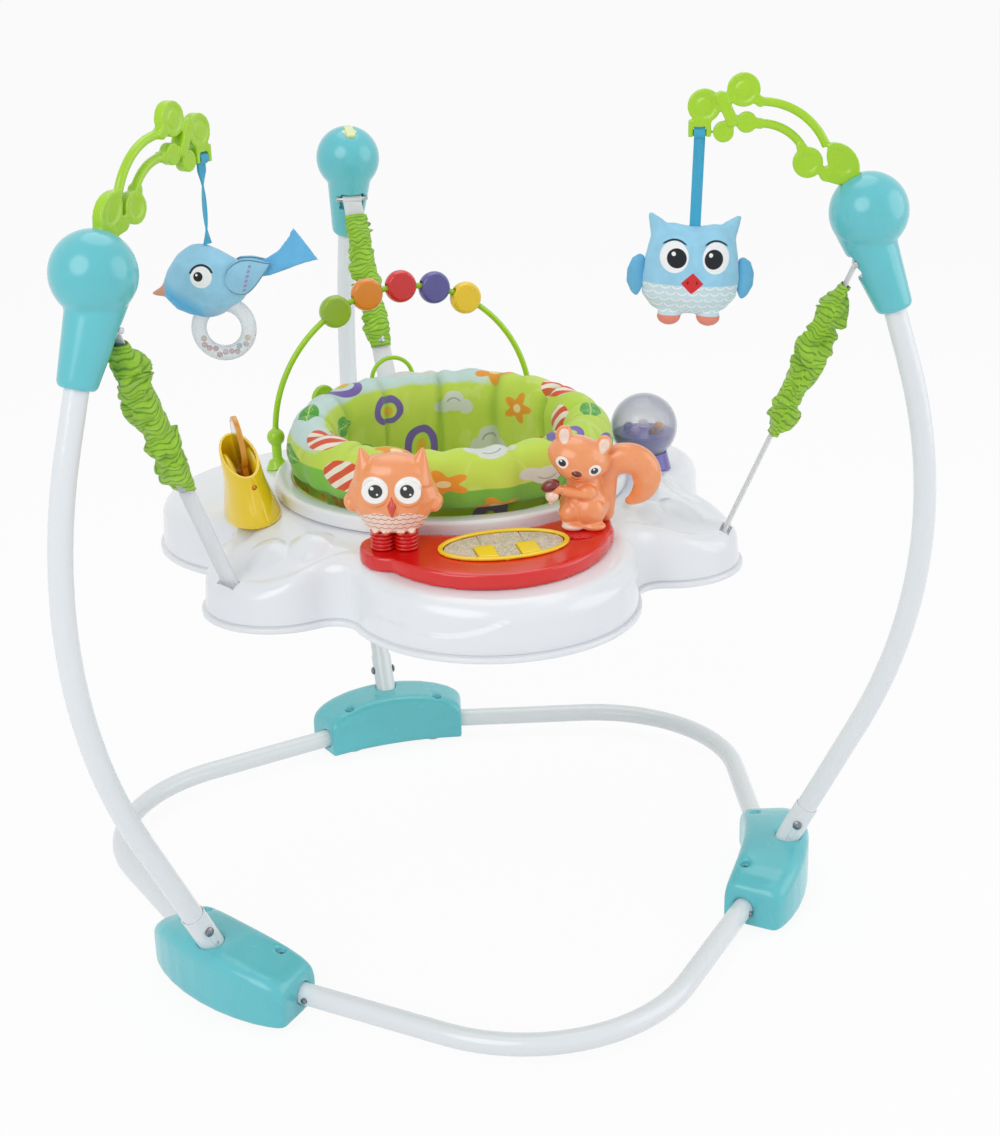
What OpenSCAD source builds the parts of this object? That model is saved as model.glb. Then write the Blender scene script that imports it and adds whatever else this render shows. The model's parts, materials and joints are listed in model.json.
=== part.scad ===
// Baby jumper: a tube frame on three feet that hangs a toy tray with a turning seat from three sprung straps.
// Millimetres, +Z up, floor at z = 0, front towards -Y. Angles about Z are counted from +X.

/* [Base ring] */
// Outer diameter of the bent steel tubes
tube_d = 25; // [23:0.5:27]
// Wall of the bent steel tubes
tube_wall = 1.5; // [1:0.1:2.5]
// Distance from the frame's axis to the straight legs of a base tube
ring_r = 375; // [365:1:385]
// Bend radius of a base tube's corner
corner_bend_r = 194; // [160:1:220]
// Height of the base tubes' axis
ring_z = 29; // [28:0.5:33]
// Length of base tube held in a housing
tube_grip = 36; // [28:1:44]
// Diameter of a snap button
button_d = 7; // [5:0.5:9]

/* [Foot housings] */
// Half of the angle about the frame's axis that a housing covers
housing_half_angle = 15; // [14:0.5:16]
// Reach of a housing inwards from the base tubes' axis
housing_in = 24; // [22:1:30]
// Reach of a housing outwards from the base tubes' axis, at its middle
housing_out = 56; // [52:1:60]
// Reach of a housing outwards from the base tubes' axis, at its ends
housing_end_out = 40; // [36:1:44]
// Height of a housing's top at its middle
housing_top = 78; // [74:1:84]
// Height of a housing's top at its ends
housing_end_top = 50; // [48:1:56]
// Rounding of a housing's upper edges
housing_round = 13; // [6:1:14]
// Diameter of a screw recess
recess_d = 13; // [9:1:15]
// Depth of a screw recess
recess_depth = 9; // [4:1:12]
// Diameter of a rubber foot
foot_d = 26; // [20:1:32]
// Height of a rubber foot
foot_h = 7; // [5:0.5:9]

/* [Posts] */
// Distance of a post's axis outside the base tubes' axis, at the height of its socket
socket_out = 23; // [20:0.5:26]
// Height at which that distance is taken
socket_z = 60; // [56:1:64]
// Length of a post's lower straight, from there to the bend
post_low_l = 192; // [180:1:210]
// Bend radius of a post
post_bend_r = 593; // [570:1:620]
// Outward lean of the lower straight
lean_out = 26.3; // [25:0.1:27.5]
// Inward lean of the upper straight
lean_in = 17; // [16:0.1:18]
// Length of the upper straight, from the bend to the head's middle
post_top_l = 169; // [160:1:180]
// Length of the lower straight above its stub
stub_drop = 127; // [115:1:135]
// Length of a post stub
stub_l = 88; // [82:1:92]
// Wall of a post stub
stub_wall = 1.3; // [1:0.1:2]
// Length of post tube inside its stub
stub_overlap = 60; // [55:1:66]
// Diameter of a post bolt
bolt_d = 6; // [5:0.5:7]
// Distance of the bolt below the stub's top
bolt_drop = 22; // [16:1:28]

/* [Heads] */
// Radius of a head's ball
ball_r = 42.5; // [40:0.5:45]
// Reach of a head's neck below the middle of its ball
neck_l = 110; // [104:1:120]
// Radius of a neck's lower end
neck_r = 20; // [18:0.5:23]
// Radius of a neck where it meets the ball
neck_top_r = 32; // [28:0.5:34]
// Distance between the post's top end and the middle of the ball
post_stop = 40; // [34:1:46]
// Lean of the toy socket inwards from upright
socket_lean = 30; // [25:1:35]
// Turn of the left toy arm from the frame's axis
arm_turn_left = 15; // [5:1:20]
// Turn of the right toy arm from the frame's axis
arm_turn_right = 6; // [-5:1:12]
// Width of the toy socket
socket_w = 22; // [18:1:24]
// Thickness of the toy socket
socket_t = 12; // [9:0.5:14]
// Depth of the toy socket
socket_depth = 18; // [12:1:20]

/* [Straps] */
// Width of the strap webbing
webbing_w = 26; // [20:1:28]
// Thickness of the strap webbing
webbing_t = 1.6; // [1:0.1:2.4]
// Radius of the strap pins and anchor bars
pin_r = 3; // [2:0.5:4]
// Distance along the strap from its pin to the sleeve
sleeve_start = 27; // [24:1:34]
// Length of a gathered sleeve
sleeve_l = 182; // [160:1:195]
// Number of gathers along a sleeve
gathers = 17; // [10:1:22]
// Depth of a gather
gather_depth = 2.6; // [1.5:0.1:3.5]
// Outer radius of the strap springs
spring_r = 8.5; // [6:0.5:10]

/* [Tray] */
// Turn of the hung tray about the frame's axis
tray_turn = -3.4; // [-5:0.1:5]
// Height of the tray's lower edge
tray_z = 427; // [415:1:440]
// Height of the tray's crown, at the seat opening, over its lower edge
crown_h = 84; // [78:1:90]
// Fall of the tray's top outwards
crown_slope = 0.16; // [0.12:0.01:0.2]
// Distance of a bulge's middle outside the seat ring
bulge_off = 0; // [-6:1:6]
// Radius of a bulge
bulge_r = 160; // [154:1:166]
// Distance of a strap lobe's middle outside the seat ring
lobe_off = 52; // [48:1:58]
// Radius of a strap lobe
lobe_r = 87; // [82:1:92]
// Radius of the hollows between bulges and lobes
waist_r = 28; // [22:1:34]
// Fall of a strap lobe below the crown's slope
lobe_drop = 16; // [10:1:20]
// Wall of the tray
tray_wall = 3; // [2.4:0.1:4]
// Reach of the flange around the tray's lower edge
flange = 6; // [4:0.5:8]
// Rounding of the tray's shoulder
shoulder_r = 22; // [16:1:26]
// Width of the tray's edge under the seat ring
ring_seat = 9; // [7:0.5:12]
// Distance of a strap's anchor bar outside the seat ring
anchor_off = 112; // [108:0.5:116]
// Diameter of the mounds on the lobes
mound_d = 50; // [40:1:54]
// Height of the mounds on the lobes
mound_h = 9; // [6:0.5:11]

/* [Console] */
// Clearance of the console outside the seat ring
console_off = 8; // [5:0.5:11]
// Radius of the console's front curve
console_r = 135; // [130:1:140]
// Distance of that curve's middle inside the seat ring's edge
console_mid_in = 15; // [10:1:20]
// Radius of the console's end under the owl
console_owl_r = 35; // [32:1:38]
// Radius of the console's end under the squirrel
console_squirrel_r = 33; // [30:1:36]
// Height of the console's top over the crown at its inner edge
console_rise = 6; // [4:0.5:9]
// Fall of the console's top outwards
console_tilt = 4.5; // [4:0.5:8]
// Length of the oval key rim
rim_l = 142; // [132:1:148]
// Width of the oval key rim
rim_w = 76; // [66:1:78]
// Width of the oval rim's edge
rim_edge = 6; // [4:0.5:8]
// Height of the oval rim over the console
rim_h = 3.5; // [2:0.5:6]
// Distance of the oval's middle outside the seat ring
rim_off = 48; // [47:0.5:50]
// Half of the width of the middle key
key_split = 23; // [18:1:28]
// Width of a yellow key
accent_w = 21; // [16:1:24]
// Travel of a key
key_travel = 2.5; // [1.5:0.5:3]

/* [Tray toys] */
// Distance of the owl figure outside the seat ring
owl_off = 49; // [46:1:52]
// Angle of the owl figure about the tray's axis
owl_angle = -116; // [-117:0.5:-115]
// Height of the owl figure's ribbed legs
leg_h = 22; // [18:1:26]
// Number of ribs on a leg
leg_ribs = 5; // [4:1:6]
// Distance of the squirrel figure outside the seat ring
squirrel_off = 38; // [36:1:40]
// Angle of the squirrel figure about the tray's axis
squirrel_angle = -64.5; // [-65:0.5:-64]
// Distance of the mirror pedestal outside the seat ring
pedestal_off = 34; // [33:1:37]
// Angle of the mirror pedestal about the tray's axis
pedestal_angle = 187; // [185:1:189]
// Height of the mirror pedestal at the middle of its mouth
pedestal_h = 72; // [66:1:78]
// Slant of the pedestal's mouth
mouth_slant = 26; // [15:1:32]
// Height of the mirror paddle's disc
mirror_h = 62; // [56:1:68]
// Width of the mirror paddle's disc
mirror_w = 40; // [34:1:42]
// Distance of the clear ball outside the seat ring
bubble_off = 35; // [34.5:0.5:40]
// Angle of the clear ball about the tray's axis
bubble_angle = 2; // [-1:1:5]
// Radius of the clear ball
bubble_r = 40; // [37:0.5:40.5]
// Half of the angle between the feet of the bead arch
arch_half_angle = 47; // [46:0.5:48]
// Angle of the bead arch's middle about the tray's axis
arch_angle = 98; // [96:1:100]
// Distance of the arch's feet outside the seat ring
arch_off = 24; // [22:1:27]
// Height of the arch's knuckles over the crown
knuckle_h = 50; // [44:1:56]
// Radius of the arch's rod
rod_r = 3.8; // [3:0.1:4.5]
// Radius of a bead
bead_r = 20; // [18:0.5:20.5]
// Thickness of a bead
bead_t = 16; // [12:0.5:17]
// Distance along the arch between two beads
bead_pitch = 44; // [43:0.5:47]

/* [Seat] */
// Outer radius of the seat ring
seat_ring_r = 206; // [204:0.5:207]
// Height of the seat ring over the tray
seat_ring_h = 16; // [12:0.5:20]
// Distance of the seat pad's edge inside the seat ring's edge
pad_inset = 8; // [7:0.5:12]
// Width of the seat pad from its hole to its edge
pad_w = 68; // [62:1:74]
// Height of the seat pad
pad_h = 76; // [66:1:84]
// Number of channels sewn in the seat pad
pad_channels = 24; // [18:1:26]
// Depth of a sewn channel
channel_depth = 3.5; // [2:0.5:5]
// Depth of the sling below the seat ring
sling_depth = 185; // [165:1:200]
// Thickness of the sling
sling_t = 3; // [2:0.5:4]
// Radius of a leg hole
leg_hole_r = 52; // [46:1:56]

/* [Toy arms] */
// Thickness of a toy arm
arm_t = 11; // [9:0.5:13]
// Radius of a toy arm's rods
arm_rod_r = 4.75; // [4:0.25:5]
// Bend radius of a toy arm's outer rod
arm_bend_r = 75.5; // [74:0.5:77]
// Bend radius of a toy arm's inner rod
arm_inner_bend_r = 53; // [51:0.5:55]
// Radius of a butterfly's upper wings
wing_r = 17.5; // [16:0.5:19]
// Radius of a butterfly's lower wings
low_wing_r = 11; // [10:0.5:12]
// Distance from the head's middle to the hanging bar of a toy arm
hang_at = 180; // [178:1:182]
// Height of the hanging bar over the head's middle
hang_h = 84; // [82:1:86]

/* [Hanging toys] */
// Width of the toy ribbons
ribbon_w = 12; // [9:0.5:13]
// Thickness of the toy ribbons
ribbon_t = 2.4; // [1.6:0.1:3]
// Drop from the hanging bar to the top of the bird
bird_drop = 86; // [76:1:96]
// Length of the bird's body
bird_l = 100; // [90:1:108]
// Height of the bird's body
bird_h = 74; // [68:1:80]
// Outer radius of the rattle ring
rattle_r = 34; // [30:0.5:37]
// Radius of the rattle ring's tube
rattle_tube_r = 8; // [6:0.5:9]
// Drop from the hanging bar to the top of the owl toy
plush_drop = 84; // [74:1:94]
// Width of the owl toy's body
plush_w = 90; // [82:1:98]
// Height of the owl toy's body
plush_h = 112; // [100:1:120]

/* [Hidden] */
$fn = 48;
// Clearance of a part that seats in another
fit = 0.1;
// Clearance between neighbours that move or only rest on each other
gap = 0.4;
// Excess of a cutting solid past the face that it cuts
cut = 1;
// Step of a bend over the straights that run into it
seam = 0.2;

// Directions of the posts and of the base corners
LEFT = -150;
RIGHT = -30;
BACK = 90;
POSTS = [LEFT, RIGHT, BACK];

// Base ring
leg_normal = 60 - housing_half_angle;
corner_offset = (ring_r - corner_bend_r) / cos(leg_normal);
leg_l = (ring_r - corner_bend_r) * tan(leg_normal);
button_back = 12;
tube_r = tube_d / 2;

// Post centreline: start and middle of the bend, and the head, in the post's own vertical plane
bend_start = [ring_r + socket_out + post_low_l * sin(lean_out), socket_z + post_low_l * cos(lean_out)];
bend_mid = bend_start + post_bend_r * [-cos(lean_out), sin(lean_out)];
bend_end = bend_mid + post_bend_r * [cos(lean_in), sin(lean_in)];
head_at = bend_end[0] - post_top_l * sin(lean_in);
head_z = bend_end[1] + post_top_l * cos(lean_in);
stub_r = tube_r + fit + stub_wall;

// The origin lies under the middle of the whole object's box
front_reach = corner_offset + corner_bend_r + tube_r;
back_reach = bend_mid[0] + post_bend_r + tube_r;
centre_y = (front_reach - back_reach) / 2;

// Strap pocket and pin in a head, in the head's own leaning frame
pin_in = 26;
pin_below = 48;
pocket_h = 24;
pocket_back = pin_in - pin_r - webbing_t - 4;
neck_shift = ball_r - neck_top_r;
neck_dip = 16;

// Places on the tray, all reckoned from the seat ring's edge
opening_r = seat_ring_r - ring_seat;
bulge_at = seat_ring_r + bulge_off;
lobe_at = seat_ring_r + lobe_off;
anchor_at = seat_ring_r + anchor_off;
console_in = seat_ring_r + console_off;
console_mid_at = seat_ring_r - console_mid_in;
rim_at = seat_ring_r + rim_off;
owl_at = seat_ring_r + owl_off;
squirrel_at = seat_ring_r + squirrel_off;
pedestal_at = seat_ring_r + pedestal_off;
bubble_at = seat_ring_r + bubble_off;
arch_at = seat_ring_r + arch_off;
pad_r = seat_ring_r - pad_inset;
pad_in_r = pad_r - pad_w;

// Ends of a strap, in the post's own vertical plane
pin_point = [head_at - pin_in * cos(lean_in) + pin_below * sin(lean_in), 0,
             head_z - pin_in * sin(lean_in) - pin_below * cos(lean_in)];
anchor_below = 16;
slot_z = tray_z + crown_h - crown_slope * (anchor_at - opening_r) - lobe_drop;
anchor_z = slot_z - tray_wall - anchor_below;
anchor_point = [anchor_at * cos(tray_turn), anchor_at * sin(tray_turn), anchor_z];
strap_l = norm(anchor_point - pin_point);
slot_at = anchor_at + (slot_z - anchor_z) * (pin_point[0] - anchor_at) / (pin_point[2] - anchor_z);
sleeve_end = sleeve_start + sleeve_l;
strap_tuck = 8;
sleeve_in_r = webbing_w / 2 + 0.8;

// Tray
crown_z = tray_z + crown_h;
slot_w = 11;
lobe_fall_from = lobe_at - 18;
wall_inset = flange + tray_wall;
mound_out = lobe_at + 18;
mound_in = lobe_at - 15;
// Directions of the inner mounds beside the front lobes
INNER_MOUNDS = [LEFT + 9, RIGHT - 9];
lip_h = 8;

// Console
rim_oval = [rim_l / 2, rim_w / 2];
key_oval = rim_oval - [rim_edge, rim_edge];
key_t = 6;
key_sunk = 2;
accent_t = 8;
accent_l = 30;
well_depth = key_t + key_travel + 1;
switch_at = rim_at + 11.5;
switch_angle = -71.7;
switch_size = [14, 8, 5];
switch_throw = 4;

// Arch of beads
arch_r = arch_at * sin(arch_half_angle);
arch_mid_at = arch_at * cos(arch_half_angle);
bead_step = bead_pitch / arch_r * 180 / PI;
arch_z = crown_z + knuckle_h - 16;

// Hanging toys
bird_heading = 162.6;
facing = -15;

// Places

// The frame's axis in the part's own frame
module place() {
  translate([0, centre_y, 0]) children();
}

// A post's own frame: +X outwards along its direction
module at_post(direction) {
  place() rotate([0, 0, direction]) children();
}

// A post's lower straight: +Z up along it, from the start of the bend
module at_stub() {
  translate([bend_start[0], 0, bend_start[1]]) rotate([0, lean_out, 0]) children();
}

// A head: +Z up along the post, +X outwards, from the middle of the ball
module at_head() {
  translate([head_at, 0, head_z]) rotate([0, -lean_in, 0]) children();
}

// The hung tray's own frame, with the console at -Y
module on_tray() {
  place() rotate([0, 0, tray_turn]) children();
}

// A place on the tray by angle and distance, with +X outwards
module tray_spot(angle, distance, z) {
  rotate([0, 0, angle]) translate([distance, 0, z]) children();
}

// A strap's frame: +Z down along it from the pin, +Y across the webbing
module along_strap() {
  run = anchor_point - pin_point;
  translate(pin_point) rotate([0, acos(run[2] / strap_l), atan2(run[1], run[0])]) children();
}

// Forms

// Closed solid through a row of rings, each counter-clockwise seen from the next
module skin(rings, closed = false) {
  n = len(rings[0]);
  m = len(rings);
  walls = [for (i = [0 : closed ? m - 1 : m - 2]) for (j = [0 : n - 1])
    let (k = (j + 1) % n, up = (i + 1) % m)
    each [[i * n + j, up * n + k, i * n + k], [i * n + j, up * n + j, up * n + k]]];
  ends = closed ? [] : [for (j = [1 : n - 2])
    each [[0, j, j + 1], [(m - 1) * n, (m - 1) * n + j + 1, (m - 1) * n + j]]];
  polyhedron([for (ring = rings) each ring], concat(walls, ends), convexity = 8);
}

// Level oval ring of n points
function oval(z, x, y, rx, ry, n) =
  [for (k = [0 : n - 1]) [x + rx * cos(360 * k / n), y + ry * sin(360 * k / n), z]];

// Stuffed or moulded body through level ovals, each [height, middle x, middle y, half width, half depth]
module blob(ovals, n = 20) {
  skin([for (o = ovals) oval(o[0], o[1], o[2], o[3], o[4], n)]);
}

// Tapered sweep in the XZ plane through stations [x, z, half height, half thickness]
module tail(stations, n = 12) {
  last = len(stations) - 1;
  skin([for (i = [0 : last])
    let (a = stations[max(i - 1, 0)], b = stations[min(i + 1, last)], s = stations[i],
         run = [b[0] - a[0], b[1] - a[1]] / norm([b[0] - a[0], b[1] - a[1]]))
    [for (k = [0 : n - 1])
      let (up = s[2] * cos(360 * k / n), aside = s[3] * sin(360 * k / n))
      [s[0] + run[1] * up, aside, s[1] - run[0] * up]]]);
}

// Flat leaf with two pointed ends
module leaf(length, width) {
  r = (length * length / 4 + width * width / 4) / width;
  intersection() {
    translate([0, width / 2 - r]) circle(r);
    translate([0, r - width / 2]) circle(r);
  }
}

// Flat bar between two points, a little narrower than its round ends
module bar(a, b, r) {
  half = 0.94 * r;
  translate(a) circle(r);
  translate(b) circle(r);
  translate(a) rotate(atan2(b[1] - a[1], b[0] - a[0])) translate([0, -half]) square([norm(b - a), 2 * half]);
}

// Flat ellipse
module ellipse(half) {
  scale([1, half[1] / half[0]]) circle(half[0], $fn = 64);
}

// Base ring

module base_tube_run(r, ends) {
  translate([corner_offset, 0, 0]) {
    rotate([0, 0, -leg_normal]) rotate_extrude(angle = 2 * leg_normal)
      translate([corner_bend_r, 0]) circle(r);
    for (side = [-1, 1])
      rotate([0, 0, side * leg_normal]) translate([corner_bend_r, 0, 0])
        rotate([-90 * side, 0, 0]) cylinder(r = r, h = leg_l + ends);
  }
}

module at_buttons() {
  for (side = [-1, 1])
    translate([corner_offset, 0, 0]) rotate([0, 0, side * leg_normal])
      translate([corner_bend_r, side * (leg_l - button_back), 0]) rotate([0, 90, 0]) children();
}

module base_tube(direction) {
  color("white") place() rotate([0, 0, direction]) translate([0, 0, ring_z]) difference() {
    base_tube_run(tube_r, tube_grip);
    base_tube_run(tube_r - tube_wall, tube_grip + cut);
    at_buttons() cylinder(d = button_d + 2 * fit, h = tube_d);
  }
}

module base_tube_front() { base_tube(LEFT + 60); }
module base_tube_right() { base_tube(RIGHT + 60); }
module base_tube_left() { base_tube(BACK + 60); }

module snap_buttons() {
  color("lightgrey") for (direction = POSTS) place() rotate([0, 0, direction + 60]) translate([0, 0, ring_z])
    at_buttons() rotate_extrude() intersection() {
      translate([0, tube_r - tube_wall - 2]) square([button_d / 2, tube_wall + 5]);
      translate([0, tube_r + 3 - button_d]) circle(button_d);
    }
}

// Foot housings

housing_reach = housing_half_angle + 0.6;
HALF_STATIONS = [1, 0.975, 0.92, 0.83, 0.68, 0.47, 0.24];
STATIONS = concat(-HALF_STATIONS, [0], [for (k = [len(HALF_STATIONS) - 1 : -1 : 0]) HALF_STATIONS[k]]);

function arch(s, at_end, at_mid) = at_end + (at_mid - at_end) * sqrt(max(0, 1 - s * s));

// Upright section of a housing at a share s of its half length, turned to its angle about the frame's axis
function housing_section(s) =
  let (inner = ring_r - housing_in, outer = ring_r + arch(s, housing_end_out, housing_out),
       top = arch(s, housing_end_top, housing_top), r = housing_round, a = s * housing_reach,
       outline = concat([[inner + 2, foot_h], [inner, foot_h + 4]],
         [for (k = [0 : 4]) [inner + r - r * cos(22.5 * k), top - r + r * sin(22.5 * k)]],
         [for (k = [0 : 5]) [outer - 1.5 * r + 1.5 * r * sin(18 * k), top - r + r * cos(18 * k)]],
         [[outer, foot_h + 4], [outer - 2, foot_h]]))
  [for (p = outline) [p[0] * cos(a), p[0] * sin(a), p[1]]];

module at_feet() {
  for (side = [-1, 1])
    rotate([0, 0, side * housing_half_angle * 0.6]) translate([ring_r + 4, 0, 0]) children();
}

stud_r = 5;
stud_h = 7;

module foot_housing(direction) {
  color("mediumturquoise") at_post(direction) difference() {
    skin([for (s = STATIONS) housing_section(s)]);
    for (side = [-1, 1]) {
      rotate([0, 0, side * housing_half_angle]) translate([ring_r, side * tube_d, ring_z])
        rotate([90 * side, 0, 0]) cylinder(r = tube_r + fit, h = tube_d + tube_grip + gap);
      rotate([0, 0, side * housing_half_angle * 0.68])
        translate([ring_r - 9, 0, arch(0.65, housing_end_top, housing_top) - recess_depth])
          cylinder(d = recess_d, h = housing_top);
    }
    at_stub() translate([0, 0, -stub_drop - stub_l - gap]) cylinder(r = stub_r + fit, h = stub_l + gap);
    at_feet() cylinder(r = stud_r + fit, h = foot_h + stud_h + gap);
  }
}

module foot_housing_left() { foot_housing(LEFT); }
module foot_housing_right() { foot_housing(RIGHT); }
module foot_housing_back() { foot_housing(BACK); }

module rubber_feet() {
  color("whitesmoke") for (direction = POSTS) at_post(direction) at_feet() {
    cylinder(r1 = foot_d / 2 - 1.5, r2 = foot_d / 2, h = 1.5);
    translate([0, 0, 1.5]) cylinder(d = foot_d, h = foot_h - 1.5);
    translate([0, 0, foot_h]) cylinder(r = stud_r, h = stud_h);
  }
}

// Posts

module at_bolt() {
  at_stub() translate([0, 0, -stub_drop - bolt_drop]) rotate([90, 0, 0]) children();
}

module post_stubs() {
  color("white") for (direction = POSTS) at_post(direction) difference() {
    at_stub() translate([0, 0, -stub_drop - stub_l]) difference() {
      cylinder(r = stub_r, h = stub_l);
      translate([0, 0, -cut]) cylinder(r = tube_r + fit, h = stub_l + 2 * cut);
    }
    at_bolt() cylinder(d = bolt_d + 2 * fit, h = 4 * stub_r, center = true);
    at_bolt() translate([0, -bolt_drop, 0]) cylinder(d = bolt_d + 2 * fit, h = 4 * stub_r, center = true);
  }
}

module post_run(r, low, top) {
  run_in = 2 * cut;
  at_stub() translate([0, 0, -low]) cylinder(r = r, h = low + run_in);
  translate([bend_mid[0], 0, bend_mid[1]]) rotate([90, 0, 0]) rotate([0, 0, -lean_out])
    rotate_extrude(angle = lean_out + lean_in) translate([post_bend_r, 0]) circle(r + seam);
  at_head() translate([0, 0, -post_top_l - run_in]) cylinder(r = r, h = top + run_in);
}

module post_tube(direction) {
  low = stub_drop + stub_overlap;
  color("white") at_post(direction) difference() {
    post_run(tube_r, low, post_top_l - post_stop);
    post_run(tube_r - tube_wall, low + cut, post_top_l - post_stop + cut);
    at_bolt() cylinder(d = bolt_d + 2 * fit, h = 4 * stub_r, center = true);
  }
}

module post_tube_left() { post_tube(LEFT); }
module post_tube_right() { post_tube(RIGHT); }
module post_tube_back() { post_tube(BACK); }

module post_bolts() {
  cap_r = bolt_d * 0.9;
  cap_h = bolt_d * 0.55;
  color("dimgrey") for (direction = POSTS) at_post(direction) at_bolt() {
    cylinder(d = bolt_d, h = 2 * (stub_r + gap), center = true);
    for (side = [0, 180]) rotate([side, 0, 0]) translate([0, 0, stub_r + gap]) rotate_extrude()
      intersection() {
        square([cap_r, cap_h]);
        translate([0, cap_h - 1.6 * cap_r]) circle(1.6 * cap_r);
      }
  }
}

// Heads

// Turn of the toy arm at each post
function arm_turn(direction) = direction == LEFT ? arm_turn_left : direction == RIGHT ? arm_turn_right : 0;

// A toy arm's frame: from the middle of the ball, +X outwards in the plane that the arm lies in
module at_arm(direction) {
  at_post(direction) translate([head_at, 0, head_z]) rotate([0, 0, arm_turn(direction)]) children();
}

// A toy socket's frame on the ball, +Z out of it
module at_socket(direction) {
  at_arm(direction) rotate([0, -socket_lean, 0]) children();
}

module socket_block(clear, from, to) {
  translate([-socket_w / 2 + clear, -socket_t / 2 + clear, from])
    cube([socket_w - 2 * clear, socket_t - 2 * clear, to - from]);
}

module head(direction) {
  color("mediumturquoise") difference() {
    at_post(direction) at_head() {
      sphere(ball_r);
      hull() {
        translate(neck_shift * [-cos(neck_dip), 0, -sin(neck_dip)]) sphere(neck_top_r);
        translate([0, 0, 4 - neck_l]) cylinder(r = neck_r, h = 1);
        translate([0, 0, -neck_l]) cylinder(r = neck_r - 3, h = 1);
      }
    }
    at_post(direction) at_head() {
      translate([0, 0, -neck_l - cut]) cylinder(r = tube_r + fit, h = neck_l - post_stop + cut + gap);
      translate([-2 * ball_r - pocket_back, -webbing_w / 2 - 3, -pin_below - pocket_h + 8])
        cube([2 * ball_r, webbing_w + 6, pocket_h]);
      translate([-pin_in, 0, -pin_below]) rotate([90, 0, 0])
        cylinder(r = pin_r + fit, h = webbing_w + 18, center = true);
    }
    at_socket(direction) socket_block(0, ball_r - socket_depth, ball_r + cut);
  }
}

module head_left() { head(LEFT); }
module head_right() { head(RIGHT); }
module head_back() { head(BACK); }

module strap_pins() {
  color("silver") for (direction = POSTS) at_post(direction) at_head()
    translate([-pin_in, 0, -pin_below]) rotate([90, 0, 0])
      cylinder(r = pin_r, h = webbing_w + 17, center = true);
}

module socket_plug() {
  color("khaki") at_socket(BACK) socket_block(fit, ball_r - socket_depth + gap, ball_r + 1.5);
}

// Toy arms, drawn flat with x inwards from the head's middle and y upwards

arm_bend_at = [117, 40];
arm_rod_from = 158;
arm_inner_rod_from = 152;
arm_stem_r = arm_rod_r + 0.8;
arm_root = [[18, 32], [46, 40]];
arm_root_r = 8;
tip_leaf_at = [29, 52];
tip_leaf_size = [50, 30];
tip_leaf_turn = 54;
round_leaf_at = [66, 52];
round_leaf_r = 16;
round_leaf_stem = [73, 68];
WINGS = [[134.5, 128], [175.5, 112]];
LOW_WINGS = [[131, 94.6], [155, 85]];
BUTTERFLY = [[158, 120.5], [146, 96.7]];
butterfly_r = 6.5;
butterfly_proud = 2;
clip_half = [12, 9];
clip_rise = 5;
relief = 1;

module arm_rod(bend_r, from) {
  translate(concat(arm_bend_at, 0)) rotate([0, 0, 90]) rotate_extrude(angle = from - 90)
    translate([bend_r, 0]) circle(arm_rod_r);
}

module arm_plate(t) {
  linear_extrude(t, center = true) children();
}

module arm_form() {
  arm_rod(arm_bend_r, arm_rod_from);
  arm_rod(arm_inner_bend_r, arm_inner_rod_from);
  arm_plate(arm_t) {
    translate(tip_leaf_at) rotate(tip_leaf_turn) leaf(tip_leaf_size[0], tip_leaf_size[1]);
    bar(arm_root[0], arm_root[1], arm_root_r);
    translate(round_leaf_at) circle(round_leaf_r);
    bar(round_leaf_at, round_leaf_stem, arm_stem_r);
    for (wing = WINGS) translate(wing) circle(wing_r);
    for (wing = LOW_WINGS) translate(wing) circle(low_wing_r);
    bar(arm_bend_at + [0, arm_bend_r], WINGS[0], arm_stem_r);
    bar(arm_bend_at + [0, arm_inner_bend_r], LOW_WINGS[0], arm_stem_r);
  }
  arm_plate(arm_t + 2 * butterfly_proud) bar(BUTTERFLY[0], BUTTERFLY[1], butterfly_r);
  translate([hang_at, hang_h + clip_rise, 0]) arm_plate(arm_t) square(2 * clip_half, center = true);
}

module arm_reliefs() {
  for (side = [-1, 1]) translate([0, 0, side * arm_t / 2]) arm_plate(2 * relief) {
    translate(tip_leaf_at + [3, 2]) rotate(tip_leaf_turn)
      leaf(0.6 * tip_leaf_size[0], 0.6 * tip_leaf_size[1]);
    translate(round_leaf_at) circle(round_leaf_r * 0.6);
    for (wing = WINGS) translate(wing) difference() {
      circle(wing_r * 0.72);
      circle(wing_r * 0.45);
    }
  }
}

module toy_arm(direction) {
  bar_clear = pin_r + ribbon_t + 1;
  color("yellowgreen") {
    at_arm(direction) difference() {
      rotate([90, 0, 0]) mirror([1, 0, 0]) difference() {
        arm_form();
        arm_reliefs();
        translate([hang_at, hang_h, 0]) cube([ribbon_w + 2, 2 * bar_clear, 4 * arm_t], center = true);
      }
      sphere(ball_r + fit);
    }
    at_hang(direction) rotate([0, 90, 0]) cylinder(r = pin_r, h = 2 * clip_half[0] - 2, center = true);
    at_socket(direction) socket_block(fit, ball_r - socket_depth + gap, ball_r + 6);
  }
}

module toy_arm_left() { toy_arm(LEFT); }
module toy_arm_right() { toy_arm(RIGHT); }

// Straps

module strap_loop() {
  rotate([90, 0, 0]) difference() {
    cylinder(r = pin_r + fit + webbing_t, h = webbing_w, center = true);
    cylinder(r = pin_r + fit, h = webbing_w + cut, center = true);
  }
}

module webbing(from, to) {
  translate([-webbing_t / 2, -webbing_w / 2, from]) cube([webbing_t, webbing_w, to - from]);
}

module top_straps() {
  color("white") for (direction = POSTS) at_post(direction) {
    translate(pin_point) strap_loop();
    along_strap() webbing(pin_r + fit + webbing_t / 2, sleeve_start + strap_tuck);
  }
}

module lower_straps() {
  color("white") for (direction = POSTS) at_post(direction) along_strap() {
    translate([0, 0, strap_l]) strap_loop();
    webbing(sleeve_end - strap_tuck, strap_l - pin_r - fit - webbing_t / 2);
  }
}

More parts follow.
